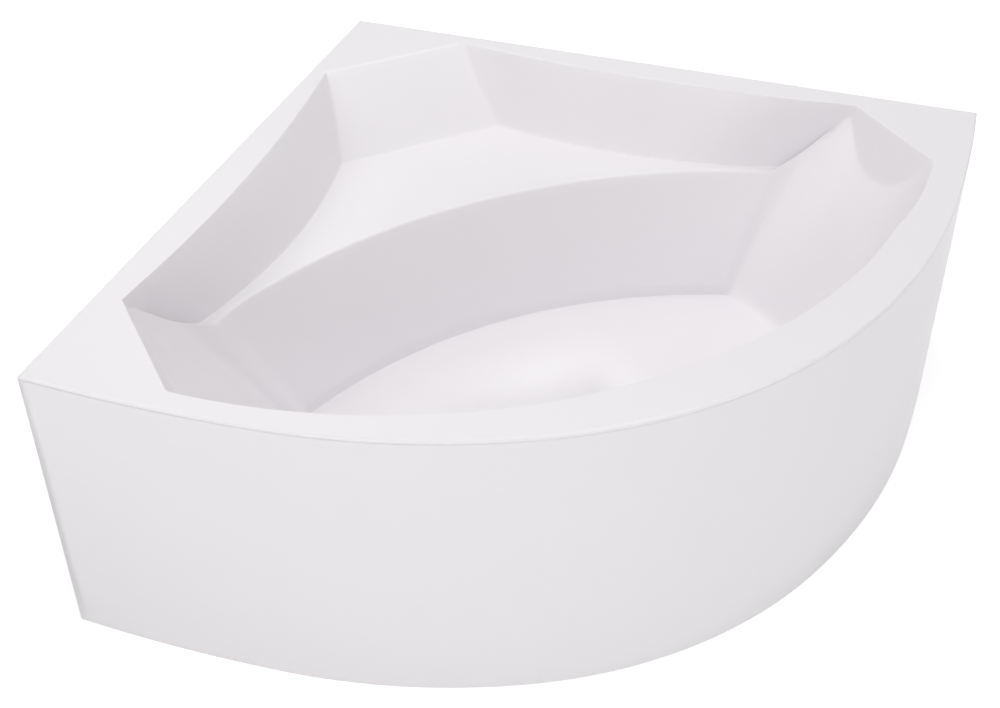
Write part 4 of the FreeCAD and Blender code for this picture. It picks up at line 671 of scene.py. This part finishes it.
for node, piece in frame["nodes"].items():
    piece.data.materials.clear()
    piece.data.materials.append(SLOT_FINISH[node_slots[node]])


# ---------------------------------------------------------------- floor, light and camera
FLOOR_HALF = 6.0
FLOOR_GLOW = 0.50  # light of its own near the bath, where the lamps add the rest of the white
FADE_START = 1.3
FADE_END = 2.6
ROOM_LIGHT = 0.23


def make_floor():
    """A floor that keeps the bath's shadow and fades to the white of the background away from it."""
    bm = bmesh.new()
    bmesh.ops.create_grid(bm, x_segments=1, y_segments=1, size=FLOOR_HALF)
    mesh = bpy.data.meshes.new("floor")
    bm.to_mesh(mesh)
    bm.free()
    floor = bpy.data.objects.new("floor", mesh)
    bpy.context.scene.collection.objects.link(floor)
    finish, nodes, links, shader = material("pale floor")
    shader.inputs["Base Color"].default_value = (0.8, 0.8, 0.8, 1)
    shader.inputs["Roughness"].default_value = 0.9
    shader.inputs["Specular IOR Level"].default_value = 0.0
    ray = nodes.new("ShaderNodeLightPath").outputs
    seen = computed(nodes, links, "MAXIMUM", ray["Is Camera Ray"], ray["Is Glossy Ray"])
    geometry = nodes.new("ShaderNodeNewGeometry")
    away = nodes.new("ShaderNodeVectorMath")
    away.operation = "LENGTH"
    links.new(geometry.outputs["Position"], away.inputs[0])
    fade = nodes.new("ShaderNodeMapRange")
    fade.inputs["From Min"].default_value = FADE_START
    fade.inputs["From Max"].default_value = FADE_END
    fade.inputs["To Min"].default_value = FLOOR_GLOW
    fade.inputs["To Max"].default_value = 1.0
    links.new(away.outputs["Value"], fade.inputs["Value"])
    glow = computed(nodes, links, "MULTIPLY", seen, fade.outputs["Result"])
    shader.inputs["Emission Color"].default_value = (1, 1, 1, 1)
    links.new(glow, shader.inputs["Emission Strength"])
    mesh.materials.append(finish)


def make_world():
    """White where it is looked at, directly, in gloss or through glass; as a light it is much dimmer."""
    world = bpy.data.worlds.new("studio")
    bpy.context.scene.world = world
    world.use_nodes = True
    nodes, links = world.node_tree.nodes, world.node_tree.links
    background = nodes["Background"]
    background.inputs["Color"].default_value = (1, 1, 1, 1)
    ray = nodes.new("ShaderNodeLightPath").outputs
    direct = computed(nodes, links, "MAXIMUM", ray["Is Camera Ray"], ray["Is Transmission Ray"])
    seen = computed(nodes, links, "MAXIMUM", direct, ray["Is Glossy Ray"])
    strength = nodes.new("ShaderNodeMapRange")
    strength.inputs["To Min"].default_value = ROOM_LIGHT
    strength.inputs["To Max"].default_value = 1.0
    links.new(seen, strength.inputs["Value"])
    links.new(strength.outputs["Result"], background.inputs["Strength"])


LAMP_AIM = Vector((0, 0, 0.3))
LAMP_REACH = 3.6
# heading in degrees from the front (0) over the right (90) to the back (180), elevation, size, power
SOFTBOXES = (
    (45, 45, 2.0, 12.9), (135, 45, 2.0, 6.6), (225, 45, 2.0, 14.1), (315, 45, 2.0, 28.2),
    (0, 14, 1.6, 21.7), (90, 68, 1.6, 11.0), (180, 68, 1.6, 28.9),
    (0, 3, 0.9, 4.2), (45, 3, 0.9, 3.6), (75, 3, 0.9, 17.0),
)


def make_softbox(heading, elevation, size, power):
    """A round lamp that looks at the bath from the given heading and elevation."""
    turn, rise = math.radians(heading), math.radians(elevation)
    out = Vector((math.cos(rise) * math.sin(turn), -math.cos(rise) * math.cos(turn), math.sin(rise)))
    name = "softbox %d %d" % (heading, elevation)
    light = bpy.data.lights.new(name, "AREA")
    light.shape = "DISK"
    light.size = size
    light.energy = power
    lamp = bpy.data.objects.new(name, light)
    lamp.location = LAMP_AIM + LAMP_REACH * out
    lamp.rotation_euler = (-out).to_track_quat("-Z", "Y").to_euler()
    bpy.context.scene.collection.objects.link(lamp)


CAMERA_PLACE = (0.6576, -2.1972, 2.0766)
CAMERA_HEADING = math.radians(19.35)
CAMERA_DOWN = math.radians(37.96)
CAMERA_ROLL = math.radians(-0.41)
FOCAL_PIXELS = 1469.17
FRAME_WIDTH = 1000
SENSOR_WIDTH = 36.0


def make_camera():
    """The photograph's view: from the front and above, turned a little to the left."""
    camera = bpy.data.objects.new("camera", bpy.data.cameras.new("camera"))
    camera.data.sensor_fit = "HORIZONTAL"
    camera.data.sensor_width = SENSOR_WIDTH
    camera.data.lens = FOCAL_PIXELS / FRAME_WIDTH * SENSOR_WIDTH
    camera.location = CAMERA_PLACE
    turn = (Matrix.Rotation(CAMERA_HEADING, 4, "Z") @ Matrix.Rotation(math.pi / 2 - CAMERA_DOWN, 4, "X")
            @ Matrix.Rotation(CAMERA_ROLL, 4, "Z"))
    camera.rotation_euler = turn.to_euler()
    bpy.context.scene.collection.objects.link(camera)
    bpy.context.scene.camera = camera


make_floor()
make_world()
for softbox in SOFTBOXES:
    make_softbox(*softbox)
make_camera()
bpy.context.scene.view_settings.view_transform = "Standard"
